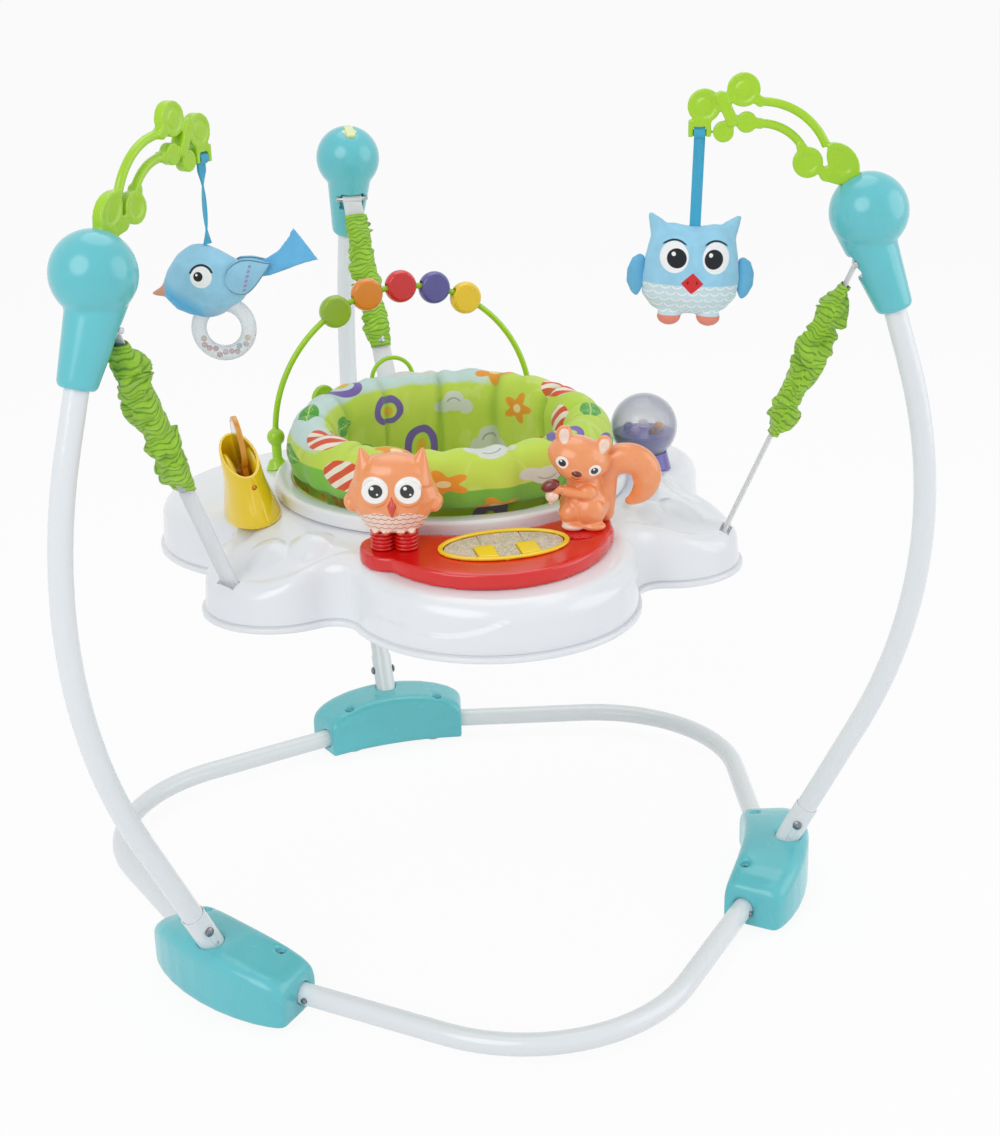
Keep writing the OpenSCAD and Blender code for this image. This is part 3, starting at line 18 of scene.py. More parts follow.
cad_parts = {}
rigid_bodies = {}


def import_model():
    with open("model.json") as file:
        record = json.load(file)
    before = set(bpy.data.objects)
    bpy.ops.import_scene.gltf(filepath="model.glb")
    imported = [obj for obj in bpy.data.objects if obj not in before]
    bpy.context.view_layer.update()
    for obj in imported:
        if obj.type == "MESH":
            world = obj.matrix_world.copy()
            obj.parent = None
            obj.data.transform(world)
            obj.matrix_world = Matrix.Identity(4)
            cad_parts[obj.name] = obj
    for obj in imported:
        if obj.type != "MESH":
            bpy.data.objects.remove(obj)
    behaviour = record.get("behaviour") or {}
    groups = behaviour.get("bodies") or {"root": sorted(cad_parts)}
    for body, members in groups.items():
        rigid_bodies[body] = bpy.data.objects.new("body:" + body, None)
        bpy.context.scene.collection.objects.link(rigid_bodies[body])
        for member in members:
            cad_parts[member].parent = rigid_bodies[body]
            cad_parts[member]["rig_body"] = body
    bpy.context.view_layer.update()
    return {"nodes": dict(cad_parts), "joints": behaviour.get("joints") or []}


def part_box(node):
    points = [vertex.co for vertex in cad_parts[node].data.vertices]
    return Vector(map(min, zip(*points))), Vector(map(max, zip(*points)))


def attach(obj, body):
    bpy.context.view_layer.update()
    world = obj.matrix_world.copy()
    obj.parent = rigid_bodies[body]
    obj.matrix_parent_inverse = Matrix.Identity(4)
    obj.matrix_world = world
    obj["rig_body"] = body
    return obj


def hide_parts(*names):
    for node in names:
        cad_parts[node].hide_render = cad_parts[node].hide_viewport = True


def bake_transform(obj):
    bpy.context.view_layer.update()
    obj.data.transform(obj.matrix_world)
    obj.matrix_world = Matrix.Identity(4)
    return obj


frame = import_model()

bl_info = {
    "name": "Baby Jumper Looks",
    "version": (1, 0, 0),
    "blender": (4, 5, 0),
    "location": "View3D > Sidebar > Jumper",
    "description": "Dresses the packed frame of a baby jumper with finishes, soft goods and fine parts",
    "category": "Object",
}

MM = 0.001
JOINTS = {joint["name"]: joint for joint in frame["joints"]}
MERGE = 1e-6

# Hung tray: turn about the frame's axis, and the frame's axis behind the origin
TRAY_TURN = math.radians(-3.4)
AXIS = Vector((0, -47.24 * MM, 0))
LEFT, RIGHT, BACK = (math.radians(angle) for angle in (-150, -30, 90))
POSTS = (LEFT, RIGHT, BACK)
# Slope of the console's top, and the way that the figures on it face
CONSOLE_TILT = math.radians(4.5)
FIGURE_TURN = math.radians(-15)
# Middle line of the pad's roll: distance from the seat's axis and height, in millimetres
PAD_ROLL = (165, 30)
BIRD_HEADING = math.radians(162.6)
PLUSH_HEADING = math.radians(-15)


def srgb(code):
    """Linear colour of a six-digit code."""
    shares = [int(code[i : i + 2], 16) / 255 for i in (0, 2, 4)]
    return tuple(s / 12.92 if s <= 0.04045 else ((s + 0.055) / 1.055) ** 2.4 for s in shares)


# Eyes of the figures
EYE_WHITE, PUPIL, GLINT = (srgb(code) for code in ("FBFAF7", "15171A", "FFFFFF"))


def shade(name, description, code):
    """Colour property with a plain default."""
    return FloatVectorProperty(
        name=name, description=description, subtype="COLOR", size=3, min=0, max=1, default=srgb(code)
    )


def length(name, description, millimetres):
    """Length property whose default is written in millimetres."""
    return FloatProperty(
        name=name, description=description, unit="LENGTH", min=0, default=millimetres * MM, precision=4
    )


class JumperColours(bpy.types.PropertyGroup):
    """Colours of the jumper's finishes"""

    tube: shade("Tube", "Painted steel tubes", "EDF1F5")
    tray: shade("Tray", "Tray, seat ring and straps", "F1F3F6")
    aqua: shade("Aqua", "Heads and foot housings", "66CDD7")
    lime: shade("Lime", "Toy arms and bead arch", "ACDF1C")
    sleeve: shade("Sleeve", "Gathered sleeves", "A8DB3A")
    red: shade("Red", "Console and owl legs", "E31613")
    yellow: shade("Yellow", "Key rim, yellow keys and pedestal", "FFDA1A")
    peach: shade("Peach", "Owl and squirrel figures", "F79A60")
    cream: shade("Cream", "Belly, ears and feet of the figures", "F8DCCB")
    purple: shade("Purple", "Ball's cup and core", "675AB2")
    pad: shade("Pad", "Ground of the seat's print", "D2E85C")
    sky: shade("Sky", "Stuffed bird and owl", "A0DAF6")
    deep_sky: shade("Deep sky", "Tail, wings and chin of the stuffed toys", "4FB6EC")
    ribbon: shade("Ribbon", "Hanging ribbons", "3FB4DC")


class JumperSizes(bpy.types.PropertyGroup):
    """Sizes of the soft goods and fine parts"""

    gathers: IntProperty(name="Gathers", description="Gathers along a sleeve", default=15, min=6, max=30)
    gather_depth: length("Gather depth", "Depth of a sleeve's gathers", 8)
    pad_puff: length("Pad puff", "Most that the filled pad may swell", 8)
    channel_depth: length("Channel depth", "Depth of the pad's sewn channels", 10)
    ridge: length("Ridge", "Height of the wave on the tray's skirt", 4)
    tube_voxel: length("Tube voxel", "Voxel of the bent tubes", 2)
    mould_voxel: length("Moulding voxel", "Voxel of the rounded mouldings", 1.6)
    fine_voxel: length("Fine voxel", "Voxel of the small mouldings", 1)
    plush_voxel: length("Plush voxel", "Voxel of the stuffed toys", 1.5)


def sizes():
    return bpy.context.scene.jumper_sizes


def colours():
    return bpy.context.scene.jumper_colours


# Shader maths


class Value:
    """A number socket in a Python expression: each operator adds a Math node."""

    def __init__(self, finish, socket):
        self.finish = finish
        self.socket = socket

    def math(self, operation, *others):
        sockets = dict(enumerate((self, *others)))
        node = self.finish.node("ShaderNodeMath", sockets, operation=operation)
        return Value(self.finish, node.outputs[0])

    def __add__(self, other):
        return self.math("ADD", other)

    __radd__ = __add__

    def __sub__(self, other):
        return self.math("SUBTRACT", other)

    def __rsub__(self, other):
        return self * -1 + other

    def __mul__(self, other):
        return self.math("MULTIPLY", other)

    __rmul__ = __mul__

    def __truediv__(self, number):
        return self * (1 / number)

    def __pow__(self, other):
        return self.math("POWER", other)

    def __mod__(self, other):
        return self.math("FLOORED_MODULO", other)

    def __abs__(self):
        return self.math("ABSOLUTE")

    def floor(self):
        return self.math("FLOOR")

    def least(self, other):
        return self.math("MINIMUM", other)

    def most(self, other):
        return self.math("MAXIMUM", other)

    def clamp(self):
        return self.most(0).least(1)

    def above(self, edge, soft):
        """A mask that rises from 0 to 1 over a soft width at an edge."""
        return ((self - edge) / soft + 0.5).clamp()

    def below(self, edge, soft):
        return 1 - self.above(edge, soft)


def round_distance(a, b):
    """Length of a flat vector of two values."""
    return (a * a + b * b).math("SQRT")


def scallops(x, z, wide, tall, middle, radius, line, soft, top):
    """Lines of scallops in rows, each row half a scallop aside of the last."""
    row = (z / tall).floor()
    cell = (x / wide + row * 0.5) % 1
    rise = z - row * tall
    off = round_distance((cell - 0.5) * wide, rise - middle)
    return abs(off - radius).below(line, soft) * rise.below(top, 1)


class Nodes:
    """Adds nodes to the tree of a material or of the world."""

    def __init__(self, tree):
        self.tree = tree
        tree.nodes.clear()

    def node(self, kind, sockets=None, **settings):
        """One node of a kind: its settings are set first, then its sockets' values or links."""
        node = self.tree.nodes.new(kind)
        for key, value in settings.items():
            setattr(node, key, value)
        self.plug(node, sockets or {})
        return node

    def plug(self, node, sockets):
        for key, value in sockets.items():
            if isinstance(value, Value):
                value = value.socket
            if isinstance(value, bpy.types.NodeSocket):
                self.tree.links.new(value, node.inputs[key])
            else:
                node.inputs[key].default_value = value

    def seen(self):
        """Share of rays that show the backdrop itself: the camera's, reflected and let through."""
        rays = self.node("ShaderNodeLightPath").outputs
        kinds = ("Is Camera Ray", "Is Glossy Ray", "Is Transmission Ray")
        camera, glossy, through = (Value(self, rays[kind]) for kind in kinds)
        return camera.most(glossy).most(through)

    def mixed(self, factor, a, b):
        """A shader between two shaders."""
        sockets = {0: factor, 1: a.outputs[0], 2: b.outputs[0]}
        return self.node("ShaderNodeMixShader", sockets).outputs[0]


class Finish(Nodes):
    """A material built from nodes around one Principled shader."""

    def __init__(self, name):
        self.material = bpy.data.materials.new(name)
        self.material.use_nodes = True
        super().__init__(self.material.node_tree)
        self.shader = self.node("ShaderNodeBsdfPrincipled")
        self.node("ShaderNodeOutputMaterial", {"Surface": self.shader.outputs[0]})

    def set(self, **sockets):
        """Sets the shader's sockets: base_color stands for Base Color."""
        names = {key: key.replace("_", " ").title().replace("Ior", "IOR") for key in sockets}
        self.plug(self.shader, {names[key]: value for key, value in sockets.items()})
        return self

    def object_point(self):
        return self.node("ShaderNodeTexCoord").outputs["Object"]

    def uv_point(self):
        return self.node("ShaderNodeTexCoord").outputs["UV"]

    def local(self, place):
        """Millimetres in a piece's own frame, from its place matrix, as three values."""
        sockets = {
            "Vector": self.object_point(),
            "Location": place.to_translation(),
            "Rotation": place.to_euler(),
            "Scale": (MM, MM, MM),
        }
        mapping = self.node("ShaderNodeMapping", sockets, vector_type="TEXTURE")
        return self.split(mapping.outputs[0])

    def split(self, vector):
        parts = self.node("ShaderNodeSeparateXYZ", {0: vector}).outputs
        return [Value(self, part) for part in parts]

    def along(self, way):
        """Distance along a direction."""
        sockets = {0: self.object_point(), 1: way}
        node = self.node("ShaderNodeVectorMath", sockets, operation="DOT_PRODUCT")
        return Value(self, node.outputs["Value"])

    def attribute(self, name):
        """A number kept on the piece's own points."""
        return Value(self, self.node("ShaderNodeAttribute", attribute_name=name).outputs["Fac"])

    def stretched(self, vector, scale):
        return self.node("ShaderNodeMapping", {"Vector": vector, "Scale": scale}).outputs[0]

    def noise(self, scale, detail=2.0, rough=0.5, vector=None, warp=0.0):
        sockets = {
            "Vector": vector or self.object_point(),
            "Scale": scale,
            "Detail": detail,
            "Roughness": rough,
            "Distortion": warp,
        }
        return Value(self, self.node("ShaderNodeTexNoise", sockets).outputs[0])

    def cells(self, scale):
        """A number of its own for each cell."""
        sockets = {"Vector": self.object_point(), "Scale": scale}
        return self.split(self.node("ShaderNodeTexVoronoi", sockets).outputs["Color"])[0]

    def mix(self, factor, a, b):
        """A colour between two colours."""
        sockets = {0: factor, 6: solid(a), 7: solid(b)}
        return self.node("ShaderNodeMix", sockets, data_type="RGBA").outputs[2]

    def paint(self, ground, *layers):
        """A ground colour under layers of (mask, colour)."""
        for mask, colour in layers:
            ground = self.mix(mask, ground, colour)
        return ground

    def bump(self, height, distance, strength=1.0, over=None):
        sockets = {"Height": height, "Distance": distance, "Strength": strength}
        if over is not None:
            sockets["Normal"] = over
        return self.node("ShaderNodeBump", sockets).outputs[0]


def solid(colour):
    """A socket as it is, or a colour with its alpha."""
    if isinstance(colour, bpy.types.NodeSocket):
        return colour
    return (*colour[:3], 1.0)


def scaled(colour, share):
    return tuple(min(1.0, c * share) for c in colour[:3])


# Finishes


def painted_steel(name, colour):
    """Gloss paint on tube, with a faint orange peel."""
    f = Finish(name)
    patches = f.noise(6, 3)
    handling = f.noise(35, 5, 0.65)
    peel = f.noise(900, 1)
    return f.set(
        base_color=f.mix(patches.above(0.5, 0.5) * 0.35, colour, scaled(colour, 0.95)),
        roughness=0.2 + handling.above(0.56, 0.25) * 0.06,
        coat_weight=0.35,
        coat_roughness=0.08,
        normal=f.bump(peel, 0.00006, 0.35),
    )


def moulded(name, colour, rough=0.24, coat=0.25, depth=0.9):
    """Gloss moulded plastic: flow shades, scuffs that dull the gloss and a fine grain."""
    f = Finish(name)
    flow = f.noise(14, 3, 0.5, None, 0.6)
    scuff = f.noise(1, 5, 0.7, f.stretched(f.object_point(), (60, 60, 22)), 1.2)
    grain = f.noise(1500, 1)
    return f.set(
        base_color=f.mix(flow.above(0.52, 0.5), colour, scaled(colour, depth)),
        roughness=rough + scuff.above(0.6, 0.2) * 0.05 + grain * 0.04,
        coat_weight=coat,
        coat_roughness=0.12,
        normal=f.bump(grain, 0.00004, 0.3),
    )


def tray_plastic(name, colour):
    """White moulded plastic, cooler in soft random patches, with fine scratches from use."""
    f = Finish(name)
    flow = f.noise(7, 3)
    scratch = f.noise(1, 3, 0.6, f.stretched(f.object_point(), (240, 18, 30)), 0.4)
    grain = f.noise(1800, 1)
    cooler = (colour[0] * 0.95, colour[1] * 0.965, colour[2])
    return f.set(
        base_color=f.mix(flow.above(0.5, 0.6) * 0.6, colour, cooler),
        roughness=0.2 + scratch.above(0.66, 0.12) * 0.04 + grain * 0.03,
        coat_weight=0.3,
        coat_roughness=0.1,
        normal=f.bump(grain, 0.00003, 0.25),
    )


def bright_steel(name, colour, rough):
    f = Finish(name)
    brushed = f.noise(1, 4, 0.6, f.stretched(f.object_point(), (900, 900, 60)))
    return f.set(
        base_color=f.mix(brushed, colour, scaled(colour, 0.8)),
        metallic=1.0,
        roughness=rough + brushed * 0.15,
        normal=f.bump(brushed, 0.00003, 0.3),
    )


def soft_rubber(name, colour):
    f = Finish(name)
    dust = f.noise(120, 4, 0.7)
    return f.set(
        base_color=f.mix(dust.above(0.55, 0.3), colour, scaled(colour, 0.85)),
        roughness=0.62 + dust * 0.2,
        normal=f.bump(dust, 0.0001, 0.5),
    )


def woven_strap(name, colour, across, along, rib=1.6):
    """Flat webbing: ribs across its length and fine warp threads along it, with painted shade in the
    grooves between them.
    """
    f = Finish(name)
    ribs = (f.along(along) * (2 * math.pi / (rib * MM))).math("SINE")
    warp = (f.along(across) * (2 * math.pi / (0.9 * MM))).math("SINE")
    weave = ribs * 0.5 + ribs * warp * 0.35 + 0.5
    wear = f.noise(70, 3)
    return f.set(
        # Painted shade where the weave sinks, over a random tone of wear
        base_color=f.mix((1 - weave) * 0.35 + wear * 0.15, colour, scaled(colour, 0.8)),
        roughness=0.55 + wear * 0.2,
        sheen_weight=0.25,
        normal=f.bump(weave, 0.00035, 0.6),
    )


def gathered_cotton(name, colour):
    """Lime cotton with thin dark stripes along its rows, on the sleeve's own UV map."""
    f = Finish(name)
    u, v, _ = f.split(f.uv_point())
    wander = f.noise(6, 3, 0.6, f.uv_point())
    row = (v * 34 + wander * 1.2 + u * 0.6) % 1
    stripe = abs(row - 0.5).below(0.13, 0.08)
    tone = f.noise(1, 3, 0.6, f.stretched(f.uv_point(), (5, 22, 1)))
    threads = ((u * 2200).math("SINE") * (v * 5200).math("SINE")) * 0.5 + 0.5
    ground = f.mix(tone.above(0.5, 0.3), colour, scaled(colour, 0.78))
    return f.set(
        base_color=f.paint(ground, (stripe * 0.75, srgb("558F22"))),
        roughness=0.78 + threads * 0.1,
        sheen_weight=0.3,
        sheen_roughness=0.5,
        normal=f.bump(threads, 0.00018, 0.4),
    )


def stuffed_velour(name, colour, place, layers_of=None, deep=0.86):
    """Short plush: nap that catches light, and shapes sewn or printed in its own frame."""
    f = Finish(name)
    nap = f.noise(700, 2, 0.6)
    brushed = f.noise(60, 4, 0.6)
    ground = f.mix(brushed.above(0.5, 0.4), colour, scaled(colour, deep))
    layers = layers_of(*f.local(place)) if layers_of else ()
    return f.set(
        base_color=f.paint(ground, *layers),
        roughness=0.8 + nap * 0.12,
        sheen_weight=0.45,
        sheen_roughness=0.4,
        normal=f.bump(nap, 0.00035, 0.45, f.bump(brushed, 0.0012, 0.35)),
    )


def pearl(name, colour, place, layers_of):
    """Pearly moulded plastic, painted in the figure's own frame."""
    f = Finish(name)
    swirl = f.noise(26, 4, 0.55, None, 1.5)
    grain = f.noise(1600, 1)
    paler = (colour[0], colour[1] * 1.22, colour[2] * 1.45)
    ground = f.mix(swirl.above(0.52, 0.4) * 0.6, colour, paler)
    return f.set(
        base_color=f.paint(ground, *layers_of(*f.local(place))),
        roughness=0.2 + swirl * 0.1 + grain * 0.03,
        coat_weight=0.45,
        coat_roughness=0.08,
        normal=f.bump(grain, 0.00003, 0.25),
    )


def glitter(name):
    """Milky clear key full of flakes: a few get a painted glint and some get painted shade."""
    f = Finish(name)
    # One random number for each flake, standing for how it is turned to the light
    tilt = f.cells(850)
    crumbs = f.noise(160, 3)
    flake_and_painted_glint = tilt.above(0.9, 0.04)
    ground = f.mix(crumbs.above(0.5, 0.3), srgb("E4D6C6"), srgb("C9B9A7"))
    # Painted shade on flakes turned away, painted glint on flakes turned to the light
    ground = f.paint(ground, (tilt.below(0.12, 0.06) * 0.7, srgb("8F8173")), (flake_and_painted_glint, srgb("FFF8EC")))
    return f.set(
        base_color=ground,
        metallic=flake_and_painted_glint * 0.5,
        roughness=0.3 - flake_and_painted_glint * 0.12 + crumbs * 0.1,
        coat_weight=0.6,
        coat_roughness=0.06,
        normal=f.bump(crumbs, 0.0006, 0.5),
    )


def clear_plastic(name, tint, thin, thick):
    """See-through plastic, denser where it is seen edge-on."""
    f = Finish(name)
    edge = Value(f, f.node("ShaderNodeLayerWeight", {"Blend": 0.35}).outputs["Facing"])
    haze = f.noise(30, 3)
    f.material.surface_render_method = "BLENDED"
    return f.set(
        base_color=f.mix(haze, tint, scaled(tint, 0.92)),
        roughness=0.05 + haze * 0.05,
        alpha=thin + edge * (thick - thin),
        coat_weight=0.6,
        coat_roughness=0.03,
    )


# Shapes


def turn_z(angle):
    return Matrix.Rotation(angle, 4, "Z")


def turn_x(angle):
    return Matrix.Rotation(angle, 4, "X")


def turn_y(angle):
    return Matrix.Rotation(angle, 4, "Y")


def at(point):
    return Matrix.Translation(point)


def joint_point(name):
    return Vector(JOINTS[name]["pos_m"])


def points_of(node):
    """Corners of a CAD node as an array."""
    data = frame["nodes"][node].data
    found = np.empty(len(data.vertices) * 3, np.float32)
    data.vertices.foreach_get("co", found)
    return found.reshape(-1, 3).astype(float)


def underside(node):
    """Middle of a CAD node's underside."""
    low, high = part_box(node)
    return Vector(((low.x + high.x) / 2, (low.y + high.y) / 2, low.z))


def cad_form(*nodes):
    """Merged copy of CAD nodes."""
    bm = bmesh.new()
    for node in nodes:
        bm.from_mesh(frame["nodes"][node].data)
    bmesh.ops.remove_doubles(bm, verts=bm.verts, dist=MERGE)
    return bm


def full_form(node, bore):
    """A hollow node without its bore, closed at the ends that its fittings hide."""
    bm = cad_form(node)
    bm.normal_update()
    tree = BVHTree.FromBMesh(bm)
    inner = []
    for face in bm.faces:
        start = face.calc_center_median() + face.normal * MERGE
        if tree.ray_cast(start, face.normal, bore)[0] is not None:
            inner.append(face)
    bmesh.ops.delete(bm, geom=inner, context="FACES")
    bmesh.ops.holes_fill(bm, edges=bm.edges)
    return bm


def new_object(bm, name, finish, crease=40):
    """An object from a bmesh, smooth but for edges sharper than the crease."""
    mesh = bpy.data.meshes.new(name)
    bm.to_mesh(mesh)
    bm.free()
    mesh.shade_smooth()
    mesh.set_sharp_from_angle(angle=math.radians(crease))
    mesh.materials.append(finish.material)
    obj = bpy.data.objects.new(name, mesh)
    bpy.context.scene.collection.objects.link(obj)
    return obj


def settle(obj, body, slot, *nodes):
    """Rides a piece on its body and hides the CAD nodes that it stands for; its slot is not used."""
    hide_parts(*nodes)
    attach(obj, body)
    return obj


def spanned(obj, node):
    """Bakes a piece's place into its mesh and hides the CAD node that it stands for."""
    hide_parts(node)
    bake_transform(obj)
    return obj


def stuffed(obj, fill, body, slot, *nodes):
    """Settles a padded piece; its fill is not used."""
    settle(obj, body, slot, *nodes)


def applied(obj):
    """The object's mesh with its modifiers applied, as a bmesh; the object goes."""
    graph = bpy.context.evaluated_depsgraph_get()
    mesh = bpy.data.meshes.new_from_object(obj.evaluated_get(graph))
    bm = bmesh.new()
    bm.from_mesh(mesh)
    bpy.data.objects.remove(obj)
    bpy.data.meshes.remove(mesh)
    return bm


def scratch_object(bm):
    mesh = bpy.data.meshes.new("scratch")
    bm.to_mesh(mesh)
    bm.free()
    obj = bpy.data.objects.new("scratch", mesh)
    bpy.context.scene.collection.objects.link(obj)
    return obj


def smoothed(bm, passes, share=0.5):
    for _ in range(passes):
        bmesh.ops.smooth_vert(
            bm, verts=bm.verts, factor=share, use_axis_x=True, use_axis_y=True, use_axis_z=True
        )
    return bm


def rounded(bm, voxel, passes=4):
    """The form as one skin with rounded edges, as it leaves a mould."""
    obj = scratch_object(bm)
    remesh = obj.modifiers.new("skin", "REMESH")
    remesh.mode = "VOXEL"
    remesh.voxel_size = voxel
    return smoothed(applied(obj), passes)


def lump(bm, centre, radii, turn=None):
    """Adds an egg of three half sizes, in millimetres of the piece's own frame."""
    matrix = at(Vector(centre)) @ (turn or Matrix.Identity(4)) @ Matrix.Diagonal((*radii, 1))
    return bmesh.ops.create_uvsphere(bm, u_segments=28, v_segments=18, radius=1, matrix=matrix)["verts"]


def first_ring(bm, segments, radius):
    """Points and edges of the circle from which a skin grows."""
    verts = bmesh.ops.create_circle(bm, segments=segments, radius=radius)["verts"]
    return verts, list({edge for vert in verts for edge in vert.link_edges})


def next_ring(bm, edges):
    """Points and edges of the ring grown from the last one."""
    grown = bmesh.ops.extrude_edge_only(bm, edges=edges)["geom"]
    verts = [item for item in grown if isinstance(item, bmesh.types.BMVert)]
    fresh = set(verts)
    lines = [item for item in grown if isinstance(item, bmesh.types.BMEdge)]
    return verts, [line for line in lines if fresh.issuperset(line.verts)]


def ease(t):
    """Smooth step from 0 to 1."""
    t = min(1, max(0, t))
    return t * t * (3 - 2 * t)


def joined(bm, other):
    """The first form with a second one added to it."""
    mesh = bpy.data.meshes.new("scratch")
    other.to_mesh(mesh)
    other.free()
    bm.from_mesh(mesh)
    bpy.data.meshes.remove(mesh)
    return bm


def reshaped(bm, home, place, move):
    """Moves a form's points, in millimetres of its home frame, by a rule, into a new place."""
    back = home.inverted()
    for vert in bm.verts:
        vert.co = place @ (Vector(move(*(back @ vert.co / MM))) * MM)
    return bm


def to_place(bm, place):
    """From millimetres in a piece's own frame to metres in the part's frame."""
    bmesh.ops.transform(bm, matrix=place @ Matrix.Scale(MM, 4), verts=bm.verts)
    return bm


def bevelled(obj, width, segments=2):
    bevel = obj.modifiers.new("edges", "BEVEL")
    bevel.width = width
    bevel.segments = segments
    bevel.limit_method = "ANGLE"
    bevel.angle_limit = math.radians(40)
    return obj


def dress(nodes, body, slot, finish, crease=40, bevel=None):
    """Merged, smooth copies of CAD nodes whose shape is right."""
    for node in nodes:
        obj = new_object(cad_form(node), node + "_dressed", finish, crease)
        if bevel:
            bevelled(obj, bevel)
        settle(obj, body, slot, node)


def dress_moulded(nodes, body, slot, finish, voxel, passes=4):
    """Rounded skins over CAD nodes that are mouldings."""
    for node in nodes:
        obj = new_object(rounded(cad_form(node), voxel, passes), node + "_moulding", finish, 60)
        settle(obj, body, slot, node)


def body_of(node):
    return frame["nodes"][node]["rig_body"]


def figure_place(point, turn):
    """Frame of a figure on the console's sloping top."""
    return at(point) @ turn_z(TRAY_TURN) @ turn_x(CONSOLE_TILT) @ turn_z(turn)


def tray_place():
    return at(AXIS) @ turn_z(TRAY_TURN)


# Operators


class JUMPER_OT_stage(bpy.types.Operator):
    """Camera, lights, backdrop and floor"""

    bl_idname = "jumper.stage"
    bl_label = "Stage"

    camera_place = Vector((-0.5400, -2.0146, 1.1472))
    camera_heading = math.radians(-16.875)
    camera_pitch = math.radians(-20.165)
    camera_roll = math.radians(-1.563)
    lens = 57.33
    aim = Vector((0, -0.05, 0.45))
    # Place, size and power of each lamp
    lamps = {
        "key_light": ((-2.4, -2.4, 2.6), 3.0, 56),
        "fill_light": ((2.8, -1.4, 1.5), 3.0, 30),
        "top_light": ((0.3, 0.8, 3.4), 2.6, 20),
    }
    sky_light = 0.46
    backdrop = 0.965
    floor_reach = 45.0
    # Share of the floor's own white in what the camera sees of it
    floor_glow = 0.92

    def execute(self, context):
        scene = context.scene
        scene.view_settings.view_transform = "Standard"
        self.camera(scene)
        self.world(scene)
        for name, (place, size, power) in self.lamps.items():
            self.lamp(scene, name, Vector(place), size, power)
        self.floor(scene)
        return {"FINISHED"}

    def camera(self, scene):
        data = bpy.data.cameras.new("camera")
        data.sensor_fit = "VERTICAL"
        data.sensor_height = 36
        data.sensor_width = 36
        data.lens = self.lens
        data.clip_end = 200
        obj = bpy.data.objects.new("camera", data)
        tilt = turn_x(math.pi / 2 + self.camera_pitch) @ turn_z(self.camera_roll)
        obj.matrix_world = at(self.camera_place) @ turn_z(self.camera_heading) @ tilt
        scene.collection.objects.link(obj)
        scene.camera = obj

    def lamp(self, scene, name, place, size, power):
        data = bpy.data.lights.new(name, "AREA")
        data.shape = "DISK"
        data.size = size
        data.energy = power
        obj = bpy.data.objects.new(name, data)
        turn = (self.aim - place).to_track_quat("-Z", "Y").to_matrix().to_4x4()
        obj.matrix_world = at(place) @ turn
        scene.collection.objects.link(obj)

    def world(self, scene):
        """Even soft light, behind a white backdrop."""
        world = bpy.data.worlds.new("studio")
        world.use_nodes = True
        scene.world = world
        nodes = Nodes(world.node_tree)
        cool = {"Color": (0.97, 0.985, 1, 1), "Strength": self.sky_light}
        light = nodes.node("ShaderNodeBackground", cool)
        white = {"Color": solid([self.backdrop] * 3), "Strength": 1}
        backdrop = nodes.node("ShaderNodeBackground", white)
        surface = nodes.mixed(nodes.seen(), light, backdrop)
        nodes.node("ShaderNodeOutputWorld", {"Surface": surface})

    def floor(self, scene):
        """White floor that still takes a faint shadow."""
        material = bpy.data.materials.new("pale_floor")
        material.use_nodes = True
        nodes = Nodes(material.node_tree)
        matt = nodes.node("ShaderNodeBsdfDiffuse", {"Color": (0.94, 0.94, 0.94, 1)})
        white = nodes.node("ShaderNodeEmission", {"Color": (1, 1, 1, 1), "Strength": 1})
        surface = nodes.mixed(nodes.seen() * self.floor_glow, matt, white)
        nodes.node("ShaderNodeOutputMaterial", {"Surface": surface})
        bm = bmesh.new()
        bmesh.ops.create_circle(bm, cap_ends=True, segments=96, radius=self.floor_reach)
        mesh = bpy.data.meshes.new("floor")
        bm.to_mesh(mesh)
        bm.free()
        mesh.materials.append(material)
        obj = bpy.data.objects.new("floor", mesh)
        scene.collection.objects.link(obj)


class JUMPER_OT_tubes(bpy.types.Operator):
    """Base tubes, posts, their stubs, bolts and snap buttons"""

    bl_idname = "jumper.tubes"
    bl_label = "Tubes"

    # Farthest that a wall of the bore faces another
    bore = 0.024
    passes = 8

    def execute(self, context):
        paint = painted_steel("gloss_white_paint", colours().tube)
        dark = bright_steel("bolt_steel", srgb("8C9096"), 0.3)
        bases = ["base_tube_front", "base_tube_right", "base_tube_left"]
        posts = ["post_tube_left", "post_tube_right", "post_tube_back"]
        for node in bases + posts:
            skin = rounded(full_form(node, self.bore), sizes().tube_voxel, self.passes)
            settle(new_object(skin, node + "_moulding", paint, 60), "frame", "white_tube", node)
        dress(["post_stubs"], "frame", "white_tube", paint, 35)
        dress(["post_bolts", "snap_buttons"], "frame", "dark_steel", dark, 30)
        return {"FINISHED"}


